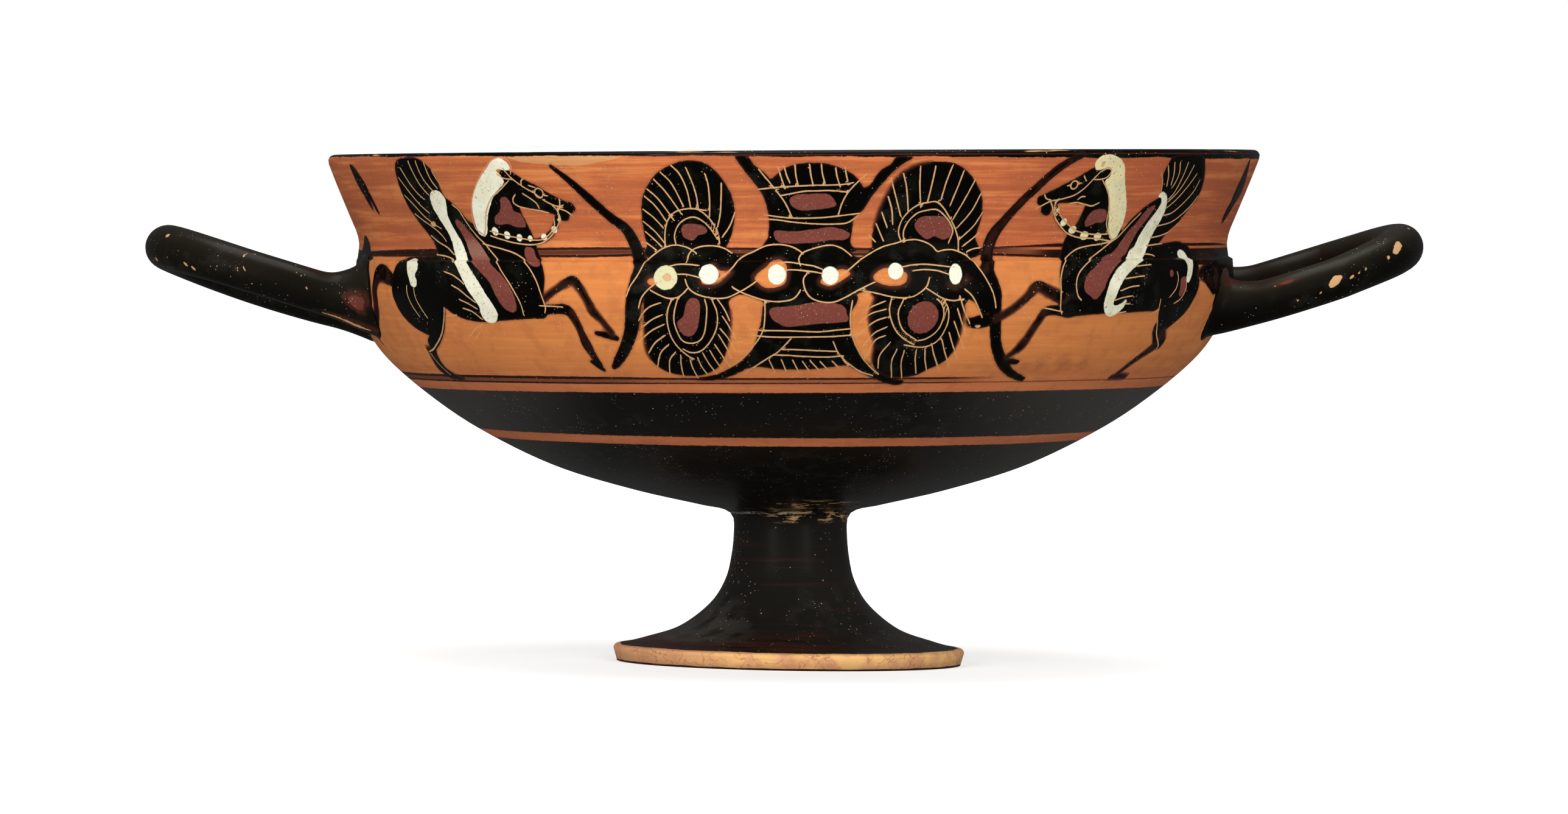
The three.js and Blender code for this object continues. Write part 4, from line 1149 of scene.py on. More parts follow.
def thrown_body(body, paint):
    """The body as one mesh, painted while it is still flat."""
    sheet = flat_sheet("kylix", COLUMNS, body.rows, HALF_TURN)
    column = 2 * HALF_TURN / COLUMNS

    def near_a_mark(arc, row, level):
        """Which cells a mark's edge runs through; the back is cut less often."""
        found = np.zeros(len(arc), bool)
        wall, height = on_the_wall(body, arc, row)
        arc, height = arc[wall], height[wall]
        half_diagonal = 0.72 * column / 2 ** level
        wanted = np.zeros(len(arc), bool)
        for sort in Art.SORTS:
            away = np.abs(paint.measure(sort, arc, height)[0])
            margin = 0.12 if sort in ("red", "white", "worn") else 0.25
            wanted |= (away < half_diagonal + margin) & (sort != "thin")
        found[wall] = wanted & ((np.abs(arc) < FRONT) | (level < 2))
        return found

    cut_finer(sheet, column, 3, near_a_mark)
    arc, row, _ = numbers(sheet.data.vertices, "co", 3).T
    wall, height = on_the_wall(body, arc, row)
    for sort in Art.SORTS:
        away, side = np.full(len(arc), REACH), np.ones(len(arc))
        away[wall], side[wall] = paint.measure(sort, arc[wall], height[wall])
        keep(sheet, sort, away)
        if sort in ("cut", "cut_too"):
            keep(sheet, sort + "_side", away * side)
    along = body.run(row)
    keep(sheet, "height", height)
    keep(sheet, "inside", along > body.rim_top)
    keep(sheet, "under", along < body.ring_end)
    keep(sheet, "rod", 0)
    keep(sheet, "top_sheen", 0)
    keep(sheet, "band_top", np.interp(arc, *zip(*BAND_TOP)))
    keep(sheet, "band_low", np.interp(arc, *zip(*BAND_LOW)))
    roll_up(sheet, body)
    return sheet


def handle(body, shape, wear, top_sheen):
    """One handle, glazed all round but for its chips and scratches, with painted sheen on its upper side."""
    rod = Rod(body, **shape)
    name = "left" if shape["side"] < 0 else "right"
    sheet = flat_sheet(name, rod.columns, rod.rows, math.pi * ROD)
    art = Art()
    wear(art)
    column = 2 * math.pi * ROD / rod.columns
    row_length = rod.length / rod.rows

    def near_a_chip(around, row, level):
        """Which cells a chip's edge runs through."""
        away = nearest_mark(art.marks["worn"], np.column_stack([around, row * row_length]))[0]
        return np.abs(away) < 0.8 * row_length / 2 ** level + 0.15

    cut_finer(sheet, column, 2, near_a_chip)
    around, row, _ = numbers(sheet.data.vertices, "co", 3).T
    for sort in Art.SORTS:
        keep(sheet, sort, nearest_mark(art.marks[sort], np.column_stack([around, row * row_length]))[0])
    for side in ("cut_side", "cut_too_side"):
        keep(sheet, side, REACH)
    keep(sheet, "rod", 1)
    # Painted sheen, strongest on the rod's upper side
    keep(sheet, "top_sheen", np.interp(np.abs(around), *zip(*top_sheen)))
    for none in ("inside", "under"):
        keep(sheet, none, 0)
    # The wall's bands don't reach the rods, so one height does for all of a rod
    for name, value in (("height", 105), ("band_top", 114), ("band_low", 112)):
        keep(sheet, name, value)
    roll_up(sheet, rod)
    return sheet


def left_wear(art):
    """Chips, a scratch and thin glaze on the left handle, as (around, along) points."""
    for around, along, size in ((-6.5, 65, 0.6), (-13.2, 57.5, 0.55), (-12.6, 59.4, 0.6), (-13.5, 70, 0.5),
                                (-10, 45, 0.3), (-9, 24, 0.3)):
        art.dab("worn", (around, along), size, size * 0.85)
    art.stroke("worn", (-15.2, 5, 0.4), (-15.5, 10, 1), (-15.2, 16, 0.8), (-15.5, 22, 0.4))
    art.stroke("worn", (-3.5, 40, 0.2), (-4.5, 42.6, 0.22), (-7.5, 43.4, 0.2), (-9.5, 42.8, 0.2))
    art.stroke("red", (-9, 5, 1.6), (-9.6, 7, 2.8), (-9.4, 9, 1.4))
    art.stroke("thin", (-8.6, 3, 2), (-9.4, 7, 4.4), (-9.5, 11, 2))
    art.stroke("thin", (-14.6, 1, 2), (-15, 12, 2.6), (-15, 24, 1.5))


def right_wear(art):
    """Chips and thin glaze on the right handle."""
    art.area("worn", (9.2, 41), (10.4, 42), (10, 43.6), (8.6, 44), (7.6, 42.8), (7.8, 41.4))
    for around, along, size in ((9.4, 46, 0.5), (9.2, 47.6, 0.4), (8.8, 50, 0.45), (10.8, 39.4, 0.35),
                                (8.4, 57.4, 0.5), (4, 70.5, 0.4), (11, 33, 0.3)):
        art.dab("worn", (around, along), size, size * 0.8)
    art.area("worn", (6.6, 59.4), (8, 58.8), (8.3, 60.6), (7, 62), (5.4, 61.2))
    art.stroke("red", (5.2, 23.5, 0.4), (4.9, 26, 1.1), (5.2, 29, 0.5))
    art.stroke("thin", (5.2, 21, 0.6), (4.9, 26, 1.6), (5.2, 31, 0.6))
    art.stroke("thin", (2, 2, 4), (1, 7, 3))


def whole_cup():
    """The body with both handles as one piece."""
    body = Body()
    cup = thrown_body(body, Paint())
    handles = [handle(body, *made) for made in ((LEFT_HANDLE, left_wear, LEFT_SHEEN),
                                                (RIGHT_HANDLE, right_wear, RIGHT_SHEEN))]
    bpy.ops.object.select_all(action="DESELECT")
    for part in (cup, *handles):
        part.select_set(True)
    bpy.context.view_layer.objects.active = cup
    bpy.ops.object.join()
    bpy.ops.object.shade_smooth()
    mesh = cup.data
    facing = numbers(mesh.attributes["facing"].data, "vector", 3)
    mesh.normals_split_custom_set_from_vertices(facing.tolist())
    mesh.attributes.remove(mesh.attributes["facing"])
    return cup


class Term:
    """A value inside a material: an expression on terms adds the maths nodes for it."""

    def __init__(self, shader, socket):
        self.shader, self.socket = shader, socket

    def maths(self, operation, *others, swap=False):
        """The result of one maths node on this value and the others."""
        terms = [self, *others]
        if swap:
            terms.reverse()
        return self.shader.term("ShaderNodeMath", {"operation": operation}, dict(enumerate(terms)))

    def __add__(self, other):
        return self.maths("ADD", other)

    __radd__ = __add__

    def __sub__(self, other):
        return self.maths("SUBTRACT", other)

    def __rsub__(self, other):
        return self.maths("SUBTRACT", other, swap=True)

    def __mul__(self, other):
        return self.maths("MULTIPLY", other)

    __rmul__ = __mul__

    def __truediv__(self, other):
        return self.maths("DIVIDE", other)

    def __rtruediv__(self, other):
        return self.maths("DIVIDE", other, swap=True)

    def __pow__(self, other):
        return self.maths("POWER", other)

    def __abs__(self):
        return self.maths("ABSOLUTE")

    def most(self, *others):
        """The greatest of this value and the others."""
        found = self
        for other in others:
            found = found.maths("MAXIMUM", other)
        return found

    def over(self, edge, soft=0.1):
        """1 where this value is over the edge, with a soft step."""
        sockets = {"Value": self, "To Min": 0.0, "To Max": 1.0}
        if isinstance(edge, Term):
            sockets["Value"], edge = self - edge, 0
        sockets["From Min"], sockets["From Max"] = edge - soft, edge + soft
        return self.shader.term("ShaderNodeMapRange", {"interpolation_type": "SMOOTHSTEP"}, sockets)

    def under(self, edge, soft=0.1):
        """1 where this value is under the edge."""
        return 1 - self.over(edge, soft)

    def between(self, low, high, soft=0.1):
        """1 where this value is between two edges."""
        return self.over(low, soft) * self.under(high, soft)


class Shader:
    """The nodes of one material, or of the surroundings."""

    def __init__(self, owner):
        owner.use_nodes = True
        self.tree = owner.node_tree
        self.tree.nodes.clear()

    def add(self, kind, settings, sockets):
        """A node of a kind, with its settings made first and then its sockets set or linked."""
        node = self.tree.nodes.new(kind)
        for name, value in settings.items():
            setattr(node, name, value)
        for key, value in sockets.items():
            if isinstance(value, Term):
                self.tree.links.new(value.socket, node.inputs[key])
            else:
                node.inputs[key].default_value = value
        return node

    def term(self, kind, settings, sockets, output=0):
        """One output of a new node."""
        return Term(self, self.add(kind, settings, sockets).outputs[output])

    def read(self, name):
        """A number stored for every point of the piece."""
        return self.term("ShaderNodeAttribute", {"attribute_name": name}, {}, "Fac")

    def noise(self, place, scale, detail=2.0, rough=0.5):
        sockets = {"Vector": place, "Scale": scale, "Detail": detail, "Roughness": rough}
        return self.term("ShaderNodeTexNoise", {}, sockets)

    def cells(self, place, scale):
        """Distance to the nearest of many scattered points."""
        return self.term("ShaderNodeTexVoronoi", {}, {"Vector": place, "Scale": scale}, "Distance")

    def vector(self, x, y, z):
        return self.term("ShaderNodeCombineXYZ", {}, {"X": x, "Y": y, "Z": z})

    def blend(self, share, low, high):
        """A mix of two colours."""
        low, high = (colour if isinstance(colour, Term) else (*colour, 1) for colour in (low, high))
        return self.term("ShaderNodeMix", {"data_type": "RGBA"}, {0: share, 6: low, 7: high}, 2)

    def coated(self, colour, *layers):
        """A colour with others laid over it in turn, as (share, colour) layers."""
        for share, layer in layers:
            colour = self.blend(share, colour, layer)
        return colour


# Colours of the clay and of what is on it, and of the painted sheen on the gloss
CLAY_WALL = (0.75, 0.252, 0.066)
CLAY_LIP = (0.66, 0.168, 0.053)
CLAY_RED = (0.58, 0.127, 0.048)
CLAY_LOW = (0.70, 0.20, 0.078)
CLAY_DARK = (0.33, 0.095, 0.042)
CLAY_PALE = (0.78, 0.36, 0.11)
CLAY_FOOT = (0.80, 0.40, 0.19)
CLAY_FOOT_PALE = (0.96, 0.56, 0.21)
CLAY_CUT = (0.74, 0.40, 0.16)
CLAY_BARE = (0.66, 0.40, 0.20)
CLAY_SANDY = (0.64, 0.32, 0.13)
GLOSS = (0.0009, 0.0007, 0.0004)
GLOSS_GREY = (0.0024, 0.0022, 0.0012)
# Painted sheen on the handles' upper side
GLOSS_SHEEN_OLIVE = (0.026, 0.021, 0.014)
GLOSS_THIN = (0.060, 0.016, 0.010)
GLOSS_WASH = (0.15, 0.042, 0.022)
GLOSS_BROWN = (0.105, 0.032, 0.019)
GLOSS_DUSTY = (0.028, 0.029, 0.022)
# Painted sheen at the bowl's sides, on the stem and on the foot
GLOSS_SHEEN = (0.062, 0.058, 0.049)
RED = (0.200, 0.050, 0.036)
RED_SCUFFED = (0.33, 0.155, 0.105)
WHITE = (0.90, 0.88, 0.70)
WHITE_YELLOW = (0.86, 0.72, 0.32)
WHITE_STAINED = (0.70, 0.66, 0.40)
WHITE_WORN = (0.46, 0.36, 0.18)
CHALK = (0.78, 0.74, 0.64)

# Lines and bands painted while the cup turned: heights on the outside, and how far the foot's gloss reaches
RIM_BAND = 138.75
RIM_LINE = 139.2
RED_LINE = (114.1, 114.75)
GROUND_LINE = (79.85, 80.4)
SECOND_LINE = (78.75, 79.1)
GROUND_WASH = (78.8, 80.3)
LOWER_GLOSS = 76.35
RESERVED_LINE = 62.75
RESERVED_HALF = 1.15
FOOT_FACE = 8
FOOT_GLOSS = 46.5
# The same inside: a band and a bare line under the rim, and rings in the floor and in the hollow foot
INNER_BAND = 134.5
INNER_LINE = 133.3
TONDO = 34
TONDO_RINGS = ((TONDO - 2.2, TONDO - 1.2), (TONDO - 5, TONDO - 4))
TONDO_DOT = 5.5
HOLLOW_GLOSS = 37
# The joint of stem and bowl, where the gloss is rubbed
JOINT_LINE = 41.6


class Spot:
    """Where a point of the surface is on the cup, and how hand, wheel and clay waver there."""

    def __init__(self, shader):
        metres = shader.term("ShaderNodeTexCoord", {}, {}, "Object")
        place = shader.term("ShaderNodeVectorMath", {"operation": "SCALE"}, {0: metres, "Scale": 1 / MM})
        parts = shader.add("ShaderNodeSeparateXYZ", {}, {0: place}).outputs
        x, y = (Term(shader, parts[axis]) for axis in "XY")
        self.place, self.x, self.y = place, x, y
        self.arc = x.maths("ARCTAN2", 0 - y) * ARC_RADIUS - PICTURE_TURN * ARC_RADIUS
        self.reach = (x * x + y * y) ** 0.5
        self.front = y.under(30, 30)
        self.height, self.rod = shader.read("height"), shader.read("rod")
        self.inside = shader.read("inside").over(0.5)
        self.underneath = shader.read("under").over(0.5, 0.02)
        self.outside = (1 - self.inside) * (1 - self.underneath) * (1 - self.rod)
        # The painter's hand, the clay's grain, and the streaks of the wheel
        self.waver = shader.noise(place, 0.09, 2.0) - 0.5
        self.tremble = shader.noise(place, 0.75, 3.0) - 0.5
        self.edge = self.tremble * 0.4 + self.waver * 0.25
        self.grain = shader.noise(place, 1.6, 4.0, 0.6)
        self.fine = shader.noise(place, 4.5, 2.0, 0.6)
        self.turning = shader.vector(x * 0.022, y * 0.022, self.height * 0.55)
        self.streak = shader.noise(self.turning, 1.0, 4.0, 0.62)
        self.sweep = shader.noise(shader.vector(x * 0.05, y * 0.05, self.height * 2.2), 1.0, 3.0, 0.6)
        self.cloud = shader.noise(place, 0.028, 3.0)
        self.blotch = shader.noise(place, 0.22, 3.0)


def oval(at, arc, height, half_arc, half_height):
    """1 on the edge of an oval on the wall, and less inside it."""
    return ((at.arc - arc) / half_arc) ** 2.0 + ((at.height - height) / half_height) ** 2.0


def bare_clay(shader, at):
    """Bare clay: warmer below the ledge, redder and streaked on the lip, duller towards the handles."""
    lip = at.height.over(LEDGE + 1, 1.5) * at.outside
    lip_clay = shader.blend(at.x.over(60, 50), CLAY_LIP, CLAY_RED)
    wall_clay = shader.blend(at.height.under(80, 6), CLAY_WALL, CLAY_LOW)
    pale = shader.noise(at.place, 0.13, 3.0).over(0.5, 0.08) * at.x.over(-22, 10)
    vein = abs(at.blotch - 0.5).under(0.012, 0.008) * 0.5
    foot_clay = shader.coated(CLAY_FOOT, (pale, CLAY_FOOT_PALE), (vein, CLAY_DARK))
    # A darker patch on the clay low between the right horse's legs
    dark_patch = oval(at, 77, 83.6, 17, 3.6).under(0.6, 0.5) * at.blotch.over(0.45, 0.15)
    sandy = oval(at, -66, 140, 17, 3 + at.waver * 3).under(1, 0.06) * lip
    return shader.coated(
        wall_clay,
        (lip, lip_clay),
        (at.height.under(FOOT_FACE) * at.outside, foot_clay),
        (at.streak.over(0.5, 0.16) * (0.2 + 0.4 * lip), CLAY_DARK),
        (at.streak.under(0.42, 0.1) * (0.15 + 0.3 * lip), CLAY_PALE),
        (abs(at.x).over(85, 40) * 0.3 * at.cloud.over(0.45, 0.3), CLAY_DARK),
        (at.blotch.over(0.58, 0.1) * 0.22, CLAY_DARK),
        (at.grain.over(0.62, 0.1) * 0.12, CLAY_BARE),
        (at.fine.under(0.33, 0.07) * 0.18, CLAY_DARK),
        (dark_patch * 0.35, CLAY_DARK),
        (sandy * 0.75, CLAY_SANDY),
    )


class Glaze:
    """Where the gloss lies: the drawing, lines and bands, the lower wall, stem and foot, and the inside."""

    def __init__(self, shader, at):
        self.drawing = shader.read("black").most(0 - shader.read("clay")) + at.edge
        self.drawn = self.drawing.under(0.0, 0.13)
        self.thin = shader.read("thin") + at.tremble * 0.9
        self.left_end = at.arc.under(-52, 14).most(1 - at.front)
        self.right = at.arc.over(58, 10) * at.front
        self.ground_lines(at, at.arc.over(52, 12) * at.front)
        top, low = (shader.read(name) + at.edge * 0.8 for name in ("band_top", "band_low"))
        self.ledge_band(at, top, low)
        self.low = self.lower_wall(at)
        rim = at.height.over(RIM_BAND - at.x * 0.0075 * at.outside + at.edge * 1.2 + at.waver * 0.7, 0.14)
        band = self.solid_band * (1 - at.height.between(*RED_LINE, 0.15) * self.right)
        outer = self.drawn.most(band, rim, self.upper_line, self.lower_line, self.low)
        hollow = at.underneath * at.reach.under(HOLLOW_GLOSS, 0.3)
        self.gloss = (outer * at.outside).most(self.inner(at), at.rod, hollow)

    def ground_lines(self, at, right_end):
        """The two lines under the animals with a wash between them; on the right only one is left, faint."""
        shake, left_end = at.edge * 0.6, self.left_end
        upper = at.height.between(GROUND_LINE[0] + shake, GROUND_LINE[1] + 0.2 * left_end + shake)
        lower = at.height.between(SECOND_LINE[0] - 0.15 * left_end + shake, SECOND_LINE[1] + shake)
        self.upper_line, self.lower_line = upper * (1 - right_end), lower * (1 - right_end)
        self.faint_line = lower * right_end * 0.75
        self.wash = at.height.between(*GROUND_WASH, 0.15) * (1 - right_end)

    def ledge_band(self, at, top, low):
        """The band at the ledge: two lines with a wash between them, and solid towards the sides."""
        self.band = at.height.between(low, top, 0.15)
        left = at.arc.under(-90, 12) * at.front
        edges = at.height.over(top - 0.75, 0.2).most(at.height.under(low + 0.75, 0.2))
        self.solid_band = self.band * edges.most(left, self.right)

    @staticmethod
    def lower_wall(at):
        """The lower wall, stem and foot, but for a bare line round the wall and the foot's edge; the gloss
        left under that edge is a painted shadow line.
        """
        line = RESERVED_LINE + (at.x / 70) ** 2.0 * 0.42 - at.x * 0.0065
        low, high = line - RESERVED_HALF + at.edge, line + RESERVED_HALF + at.edge
        reserved = at.height.between(low, high, 0.12)
        foot_edge = at.reach.over(FOOT_GLOSS + at.waver * 2.6 + at.tremble * 0.8, 0.15)
        # The edge's lowest strip stays dark gloss: a painted shadow line where the foot meets the floor
        foot_edge = foot_edge * at.height.under(FOOT_FACE) * at.height.over(0.55 + at.waver * 0.6, 0.1)
        return at.height.under(LOWER_GLOSS + at.edge * 0.8, 0.12) * (1 - reserved) * (1 - foot_edge)

    @staticmethod
    def inner(at):
        """The inside, but for a line under the rim and the round in the floor, which has black rings."""
        band = at.height.over(INNER_BAND + at.waver, 0.15) * at.inside
        line = at.height.over(INNER_LINE + at.waver, 0.15) * at.inside - band
        rings = [at.reach.between(*ring, 0.15) for ring in TONDO_RINGS]
        rings = rings[0].most(rings[1], at.reach.under(TONDO_DOT, 0.15))
        tondo = at.reach.under(TONDO, 0.2) * at.inside
        return at.inside * (1 - tondo * (1 - rings)) * (1 - line.most(0))


def browned(shader, at, glaze):
    """Where the gloss is thin and fires brown: at the brush's edges, in thin strokes and round the gaps."""
    fringe = glaze.drawing.over(-0.35, 0.25) * 0.35
    strokes = (glaze.drawing.over(-0.6, 0.4) * 0.9).most(at.blotch.over(0.52, 0.12) * 0.45)
    strokes = glaze.thin.under(0.0, 0.5) * strokes
    gaps = (shader.read("clay") + at.edge).under(0.75, 0.75) * 0.85
    drawn = fringe.most(strokes, gaps) * glaze.drawn
    band = glaze.solid_band * (1 - glaze.drawn) * (0.55 - 0.25 * glaze.right) * at.sweep.over(0.42, 0.2)
    lines = glaze.upper_line.most(glaze.lower_line) * (0.75 - 0.35 * glaze.left_end) * (1 - glaze.drawn)
    foot = at.height.under(FOOT_FACE + at.waver * 6, 2.5) * (1 - 0.7 * at.x.over(8, 14))
    foot = foot * at.sweep.over(0.47, 0.1) * glaze.low * 0.8
    stem = at.streak.over(0.6, 0.08) * 0.2 * glaze.low * at.height.under(36, 6)
    rods = at.rod * glaze.thin.under(0.0, 0.6) * at.blotch.over(0.42, 0.12)
    rim = abs(at.height - RIM_LINE).under(0.2, 0.12) * at.outside * at.streak.over(0.4, 0.15) * 0.9
    return (drawn.most(band, lines, foot, stem) * at.outside).most(rods, rim)


def black_gloss(shader, at, glaze, brown):
    """The gloss: nearly black with painted sheen at the sides, stem, foot and handle tops; dusty, and brown
    where it is thin.
    """
    dusty = at.blotch.over(0.56, 0.08) * at.fine.over(0.5, 0.1) * at.cloud.over(0.52, 0.1) * 0.45
    # Painted sheen towards the bowl's sides, on the left of the foot's top, and over the lower gloss, most on
    # the stem
    side_sheen = (at.x.over(56, 36) * 0.95).most(at.x.under(-64, 24) * 0.7)
    side_sheen = side_sheen * at.height.over(45, 8) * glaze.low * at.outside
    foot = at.x.under(-13, 12) * at.y.under(-2, 14) * at.height.over(6, 1) * at.height.under(19, 9)
    foot = foot * at.outside * (0.25 + 0.5 * at.blotch.over(0.45, 0.15))
    stem = 0.07 + at.height.under(42, 3) * (0.08 + 0.08 * at.x.over(10, 10))
    stem = glaze.low * at.outside * stem
    return shader.coated(
        GLOSS,
        (at.cloud.over(0.5, 0.25) * 0.55, GLOSS_GREY),
        (dusty, GLOSS_DUSTY),
        (side_sheen.most(foot, stem), GLOSS_SHEEN),
        # Painted sheen on the handles' upper side
        (shader.read("top_sheen") * (0.6 + 0.4 * at.cloud.over(0.45, 0.2)), GLOSS_SHEEN_OLIVE),
        (brown, GLOSS_THIN),
    )


def glazed_clay(shader, at, glaze, brown):
    """The clay with its gloss, the halo round the drawing and the washes between the lines."""
    halo = glaze.drawing.under(0.4, 0.35) * (0.3 + 0.6 * glaze.thin.under(0.4, 0.4))
    halo = halo * (1 - glaze.drawn) * at.outside
    clay = shader.blend(halo, bare_clay(shader, at), GLOSS_WASH)
    washes = glaze.wash * (1 - glaze.upper_line.most(glaze.lower_line)) * (0.5 + 0.35 * glaze.left_end)
    washes = washes.most(glaze.band * (1 - glaze.solid_band), glaze.faint_line)
    wash_colour = shader.blend(at.height.over(LEDGE), GLOSS_WASH, GLOSS_BROWN)
    return shader.coated(
        clay,
        (glaze.gloss, black_gloss(shader, at, glaze, brown)),
        (washes * at.outside * (1 - glaze.drawn), wash_colour),
    )


def added_red(shader, at, glaze):
    """Where the added red lies, and its colour, scuffed in places."""
    red = (shader.read("red") + at.edge).under(0.0, 0.14) * glaze.gloss
    scuff = abs(at.height - 114.2).under(2.6, 1.6) * at.arc.under(-88, 4) * at.fine.over(0.4, 0.15)
    scuffed = (at.grain.over(0.6, 0.08) * 0.4).most(scuff * 0.9) * (1 - at.rod)
    return red, shader.blend(scuffed, RED, RED_SCUFFED)


def added_white(shader, at):
    """Where the added white lies, and its colour: yellowed on one mane, stained, and worn."""
    on_horses = abs(at.arc).over(60, 5)
    white = (shader.read("white") + at.edge * 1.2).under(0.0, 0.13)
    white = white * (1 - at.grain.under(0.3 + 0.04 * on_horses, 0.04) * 0.75)
    yellowed = at.arc.over(70, 5) * at.arc.under(93, 3) * at.height.over(115, 1) * at.cloud.over(0.38, 0.2)
    stained = at.blotch.over(0.5, 0.1) * on_horses * (0.3 + 0.3 * at.arc.over(0, 9))
    first_dot = abs(at.arc + 38.5).under(5, 0.5)
    return white, shader.coated(
        WHITE,
        (yellowed * 0.8, WHITE_YELLOW),
        (stained.most(first_dot), WHITE_STAINED),
        (at.grain.under(0.38, 0.06) * 0.5, WHITE_WORN),
    )


def scratched_lines(shader, at):
    """Lines scratched through the glaze."""
    lines = [abs(shader.read(sort + "_side") + at.tremble * 0.1).under(0.19 + at.tremble * 0.16, 0.07)
             * shader.read(sort).under(0.4, 0.05) for sort in ("cut", "cut_too")]
    return lines[0].most(lines[1]) * (1 - at.rod)


def worn_places(shader, at, gloss):
    """Pits in the gloss, and all the places where it is chipped or rubbed off."""
    pits = shader.cells(at.place, 0.45).under(0.085, 0.03)
    pits = pits * shader.noise(at.place, 0.2, 1.0).over(0.54, 0.04)
    rub_place = shader.vector(at.x * 0.16, at.y * 0.16, at.height * 0.85)
    joint = at.height.over(39.5, 1) * at.height.under(45.6, 0.5) * at.outside
    joint = joint * at.x.over(-5, 5) * at.x.under(17, 3) * at.y.under(0)
    joint = joint * shader.noise(rub_place, 1.0, 4.0, 0.7).over(0.57, 0.02)
    rim = at.height.over(139.5, 0.2) * (1 - at.rod) * shader.noise(at.turning, 2.2, 3.0).over(0.66, 0.03)
    chips = (shader.read("worn") + at.tremble * 0.9).under(0.0, 0.1)
    return pits, chips.most(pits * gloss, joint, rim)


def chalky(shader, at):
    """Pale specks, and a pale line at the joint of stem and bowl."""
    specks = shader.cells(at.place, 0.9).under(0.10, 0.03)
    specks = specks * shader.noise(at.place, 0.11, 1.0).over(0.55, 0.06)
    joint_line = abs(at.height - JOINT_LINE + at.waver).under(0.3, 0.15) * at.outside
    joint_line = joint_line * at.y.under(0) * at.x.under(4, 4)
    joint_line = joint_line * at.grain.over(0.5, 0.06) * at.blotch.over(0.42, 0.08)
    return (specks * 0.6).most(joint_line * 0.5)


def fired_clay():
    """Fired orange clay with black gloss, added red and white, and scratched lines."""
    material = bpy.data.materials.new("fired_clay_with_black_gloss")
    shader = Shader(material)
    at = Spot(shader)
    glaze = Glaze(shader, at)
    gloss, brown = glaze.gloss, browned(shader, at, glaze)
    red, red_colour = added_red(shader, at, glaze)
    white, white_colour = added_white(shader, at)
    scratched = scratched_lines(shader, at)
    line = scratched * gloss.most(white)
    pits, bare = worn_places(shader, at, gloss)
    cut_colour = shader.blend(at.fine.over(0.5, 0.1), CLAY_BARE, CLAY_CUT)
    colour = shader.coated(
        glazed_clay(shader, at, glaze, brown),
        (red * (1 - 0.4 * at.rod), red_colour),
        (white, white_colour),
        (scratched * (0.45 + 0.5 * gloss.most(white)), cut_colour),
        (bare * 0.9, shader.blend(at.fine, CLAY_BARE, CLAY_CUT)),
        (chalky(shader, at), CHALK),
    )
    # Gloss is smooth and even; clay, red and white are dull and grainy
    bright = gloss * (1 - red) * (1 - white) * (1 - line) * (1 - bare)
    grain = at.grain - 0.5
    dull = 0.66 - bright * 0.36 + (at.cloud - 0.5) * 0.08 + grain * 0.06 * bright + brown * 0.12
    relief = gloss * 0.035 + red * 0.02 + white * 0.04 - line * 0.14 - bare * 0.16 - pits * 0.05
    relief = relief + grain * (0.07 - bright * 0.045) + (at.streak - 0.5) * 0.08 + (at.fine - 0.5) * 0.02
    bump = shader.term("ShaderNodeBump", {}, {"Strength": 0.9, "Distance": MM, "Height": relief})
    surface = shader.term("ShaderNodeBsdfPrincipled", {}, {
        "Base Color": colour, "Roughness": dull, "Normal": bump, "Specular IOR Level": 0.19,
        "Specular Tint": (1.0, 0.98, 0.88, 1.0)})
    shader.add("ShaderNodeOutputMaterial", {}, {"Surface": surface})
    return material


def studio_camera():
    """A long lens a little above the rim, looking slightly down."""
    away, up, aim_across, aim_up = 2.6, 0.128, -0.00248, 0.07031
    roll = math.radians(0.988)
    camera_data = bpy.data.cameras.new("camera")
    camera_data.lens = 216.85
    camera_data.clip_end = 100
    camera = bpy.data.objects.new("camera", camera_data)
    place = Vector((0, -away, up))
    look = (Vector((aim_across, 0, aim_up)) - place).to_track_quat("-Z", "Y").to_matrix()
    camera.matrix_world = Matrix.Translation(place) @ (look @ Matrix.Rotation(roll, 3, "Z")).to_4x4()
    bpy.context.scene.collection.objects.link(camera)
    bpy.context.scene.camera = camera


def floor():
    """A plain pale floor that glows by itself, only half as much round the cup, so that the lamps' shadow
    shows there.
    """
    bpy.ops.object.select_all(action="DESELECT")
    bpy.ops.mesh.primitive_plane_add(size=60)
    ground = bpy.context.object
    ground.name = "floor"
    material = bpy.data.materials.new("pale_floor")
    shader = Shader(material)
    coordinates = shader.term("ShaderNodeTexCoord", {}, {}, "Object")
    near = shader.term("ShaderNodeTexGradient", {"gradient_type": "SPHERICAL"}, {"Vector": coordinates})
    glow = shader.blend(near.over(0.5, 0.3), (1, 1, 1), (0.5, 0.5, 0.5))
    surface = shader.term("ShaderNodeBsdfPrincipled", {}, {
        "Base Color": (0.86, 0.86, 0.85, 1), "Roughness": 0.9, "Emission Color": glow,
        "Emission Strength": 1.0})
    shader.add("ShaderNodeOutputMaterial", {}, {"Surface": surface})
    ground.data.materials.append(material)
    ground.visible_glossy = False
    ground.visible_diffuse = False


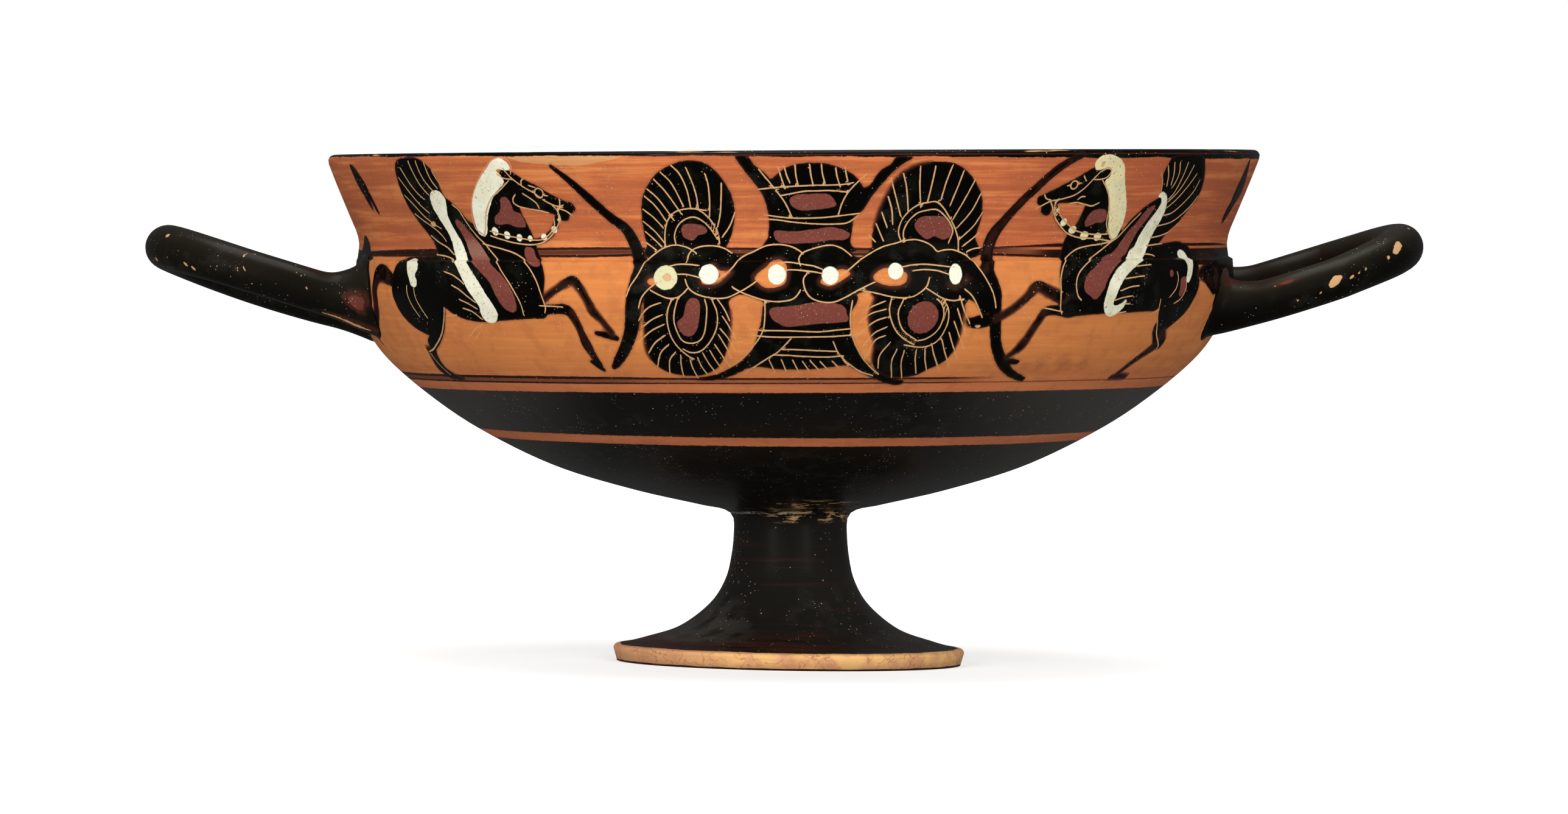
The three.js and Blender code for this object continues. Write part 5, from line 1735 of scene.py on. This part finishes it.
def soft_light(name, place, size, power, mirrored=True):
    """A large soft lamp turned to the cup; one that is not mirrored leaves no bright patch on the gloss."""
    lamp_data = bpy.data.lights.new(name, "AREA")
    lamp_data.shape = "RECTANGLE"
    lamp_data.size, lamp_data.size_y = size
    lamp_data.energy = power
    lamp = bpy.data.objects.new(name, lamp_data)
    lamp.location = place
    middle = Vector((0, 0, 0.08))
    lamp.rotation_euler = (middle - Vector(place)).to_track_quat("-Z", "Y").to_euler()
    lamp.visible_camera = False
    lamp.visible_glossy = mirrored
    bpy.context.scene.collection.objects.link(lamp)


def lamps():
    """Soft lamps in front and above, and a weaker one behind."""
    soft_light("front_left", (-1.2, -2.0, 0.72), (1.4, 1.4), 35, mirrored=False)
    soft_light("front_right", (1.0, -2.1, 0.72), (1.4, 1.4), 30, mirrored=False)
    soft_light("above", (0, 0.1, 2.2), (1.6, 1.6), 16)
    soft_light("strip_left", (-1.5, -2.1, 0.3), (0.14, 0.9), 1.5)
    soft_light("strip_right", (1.4, -2.15, 0.3), (0.14, 0.9), 1.5)
    soft_light("behind", (0.3, 2.2, 0.9), (1.6, 1.0), 16, mirrored=False)


def surroundings():
    """White all round: bright behind the cup, soft as light on it, and dim in its gloss."""
    world = bpy.data.worlds.new("surroundings")
    bpy.context.scene.world = world
    shader = Shader(world)
    seen = None
    for strength, ray in ((0.3, None), (0.075, "Is Glossy Ray"), (1.0, "Is Camera Ray")):
        white = shader.term("ShaderNodeBackground", {}, {"Color": (1, 1, 1, 1), "Strength": strength})
        if seen:
            share = shader.term("ShaderNodeLightPath", {}, {}, ray)
            white = shader.term("ShaderNodeMixShader", {}, {0: share, 1: seen, 2: white})
        seen = white
    shader.add("ShaderNodeOutputWorld", {}, {0: seen})
    bpy.context.scene.view_settings.view_transform = "Standard"


def main():
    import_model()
    studio_camera()
    cup = whole_cup()
    cup.data.materials.clear()
    cup.data.materials.append(fired_clay())
    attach(cup, "root")
    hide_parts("cup")
    floor()
    lamps()
    surroundings()


main()
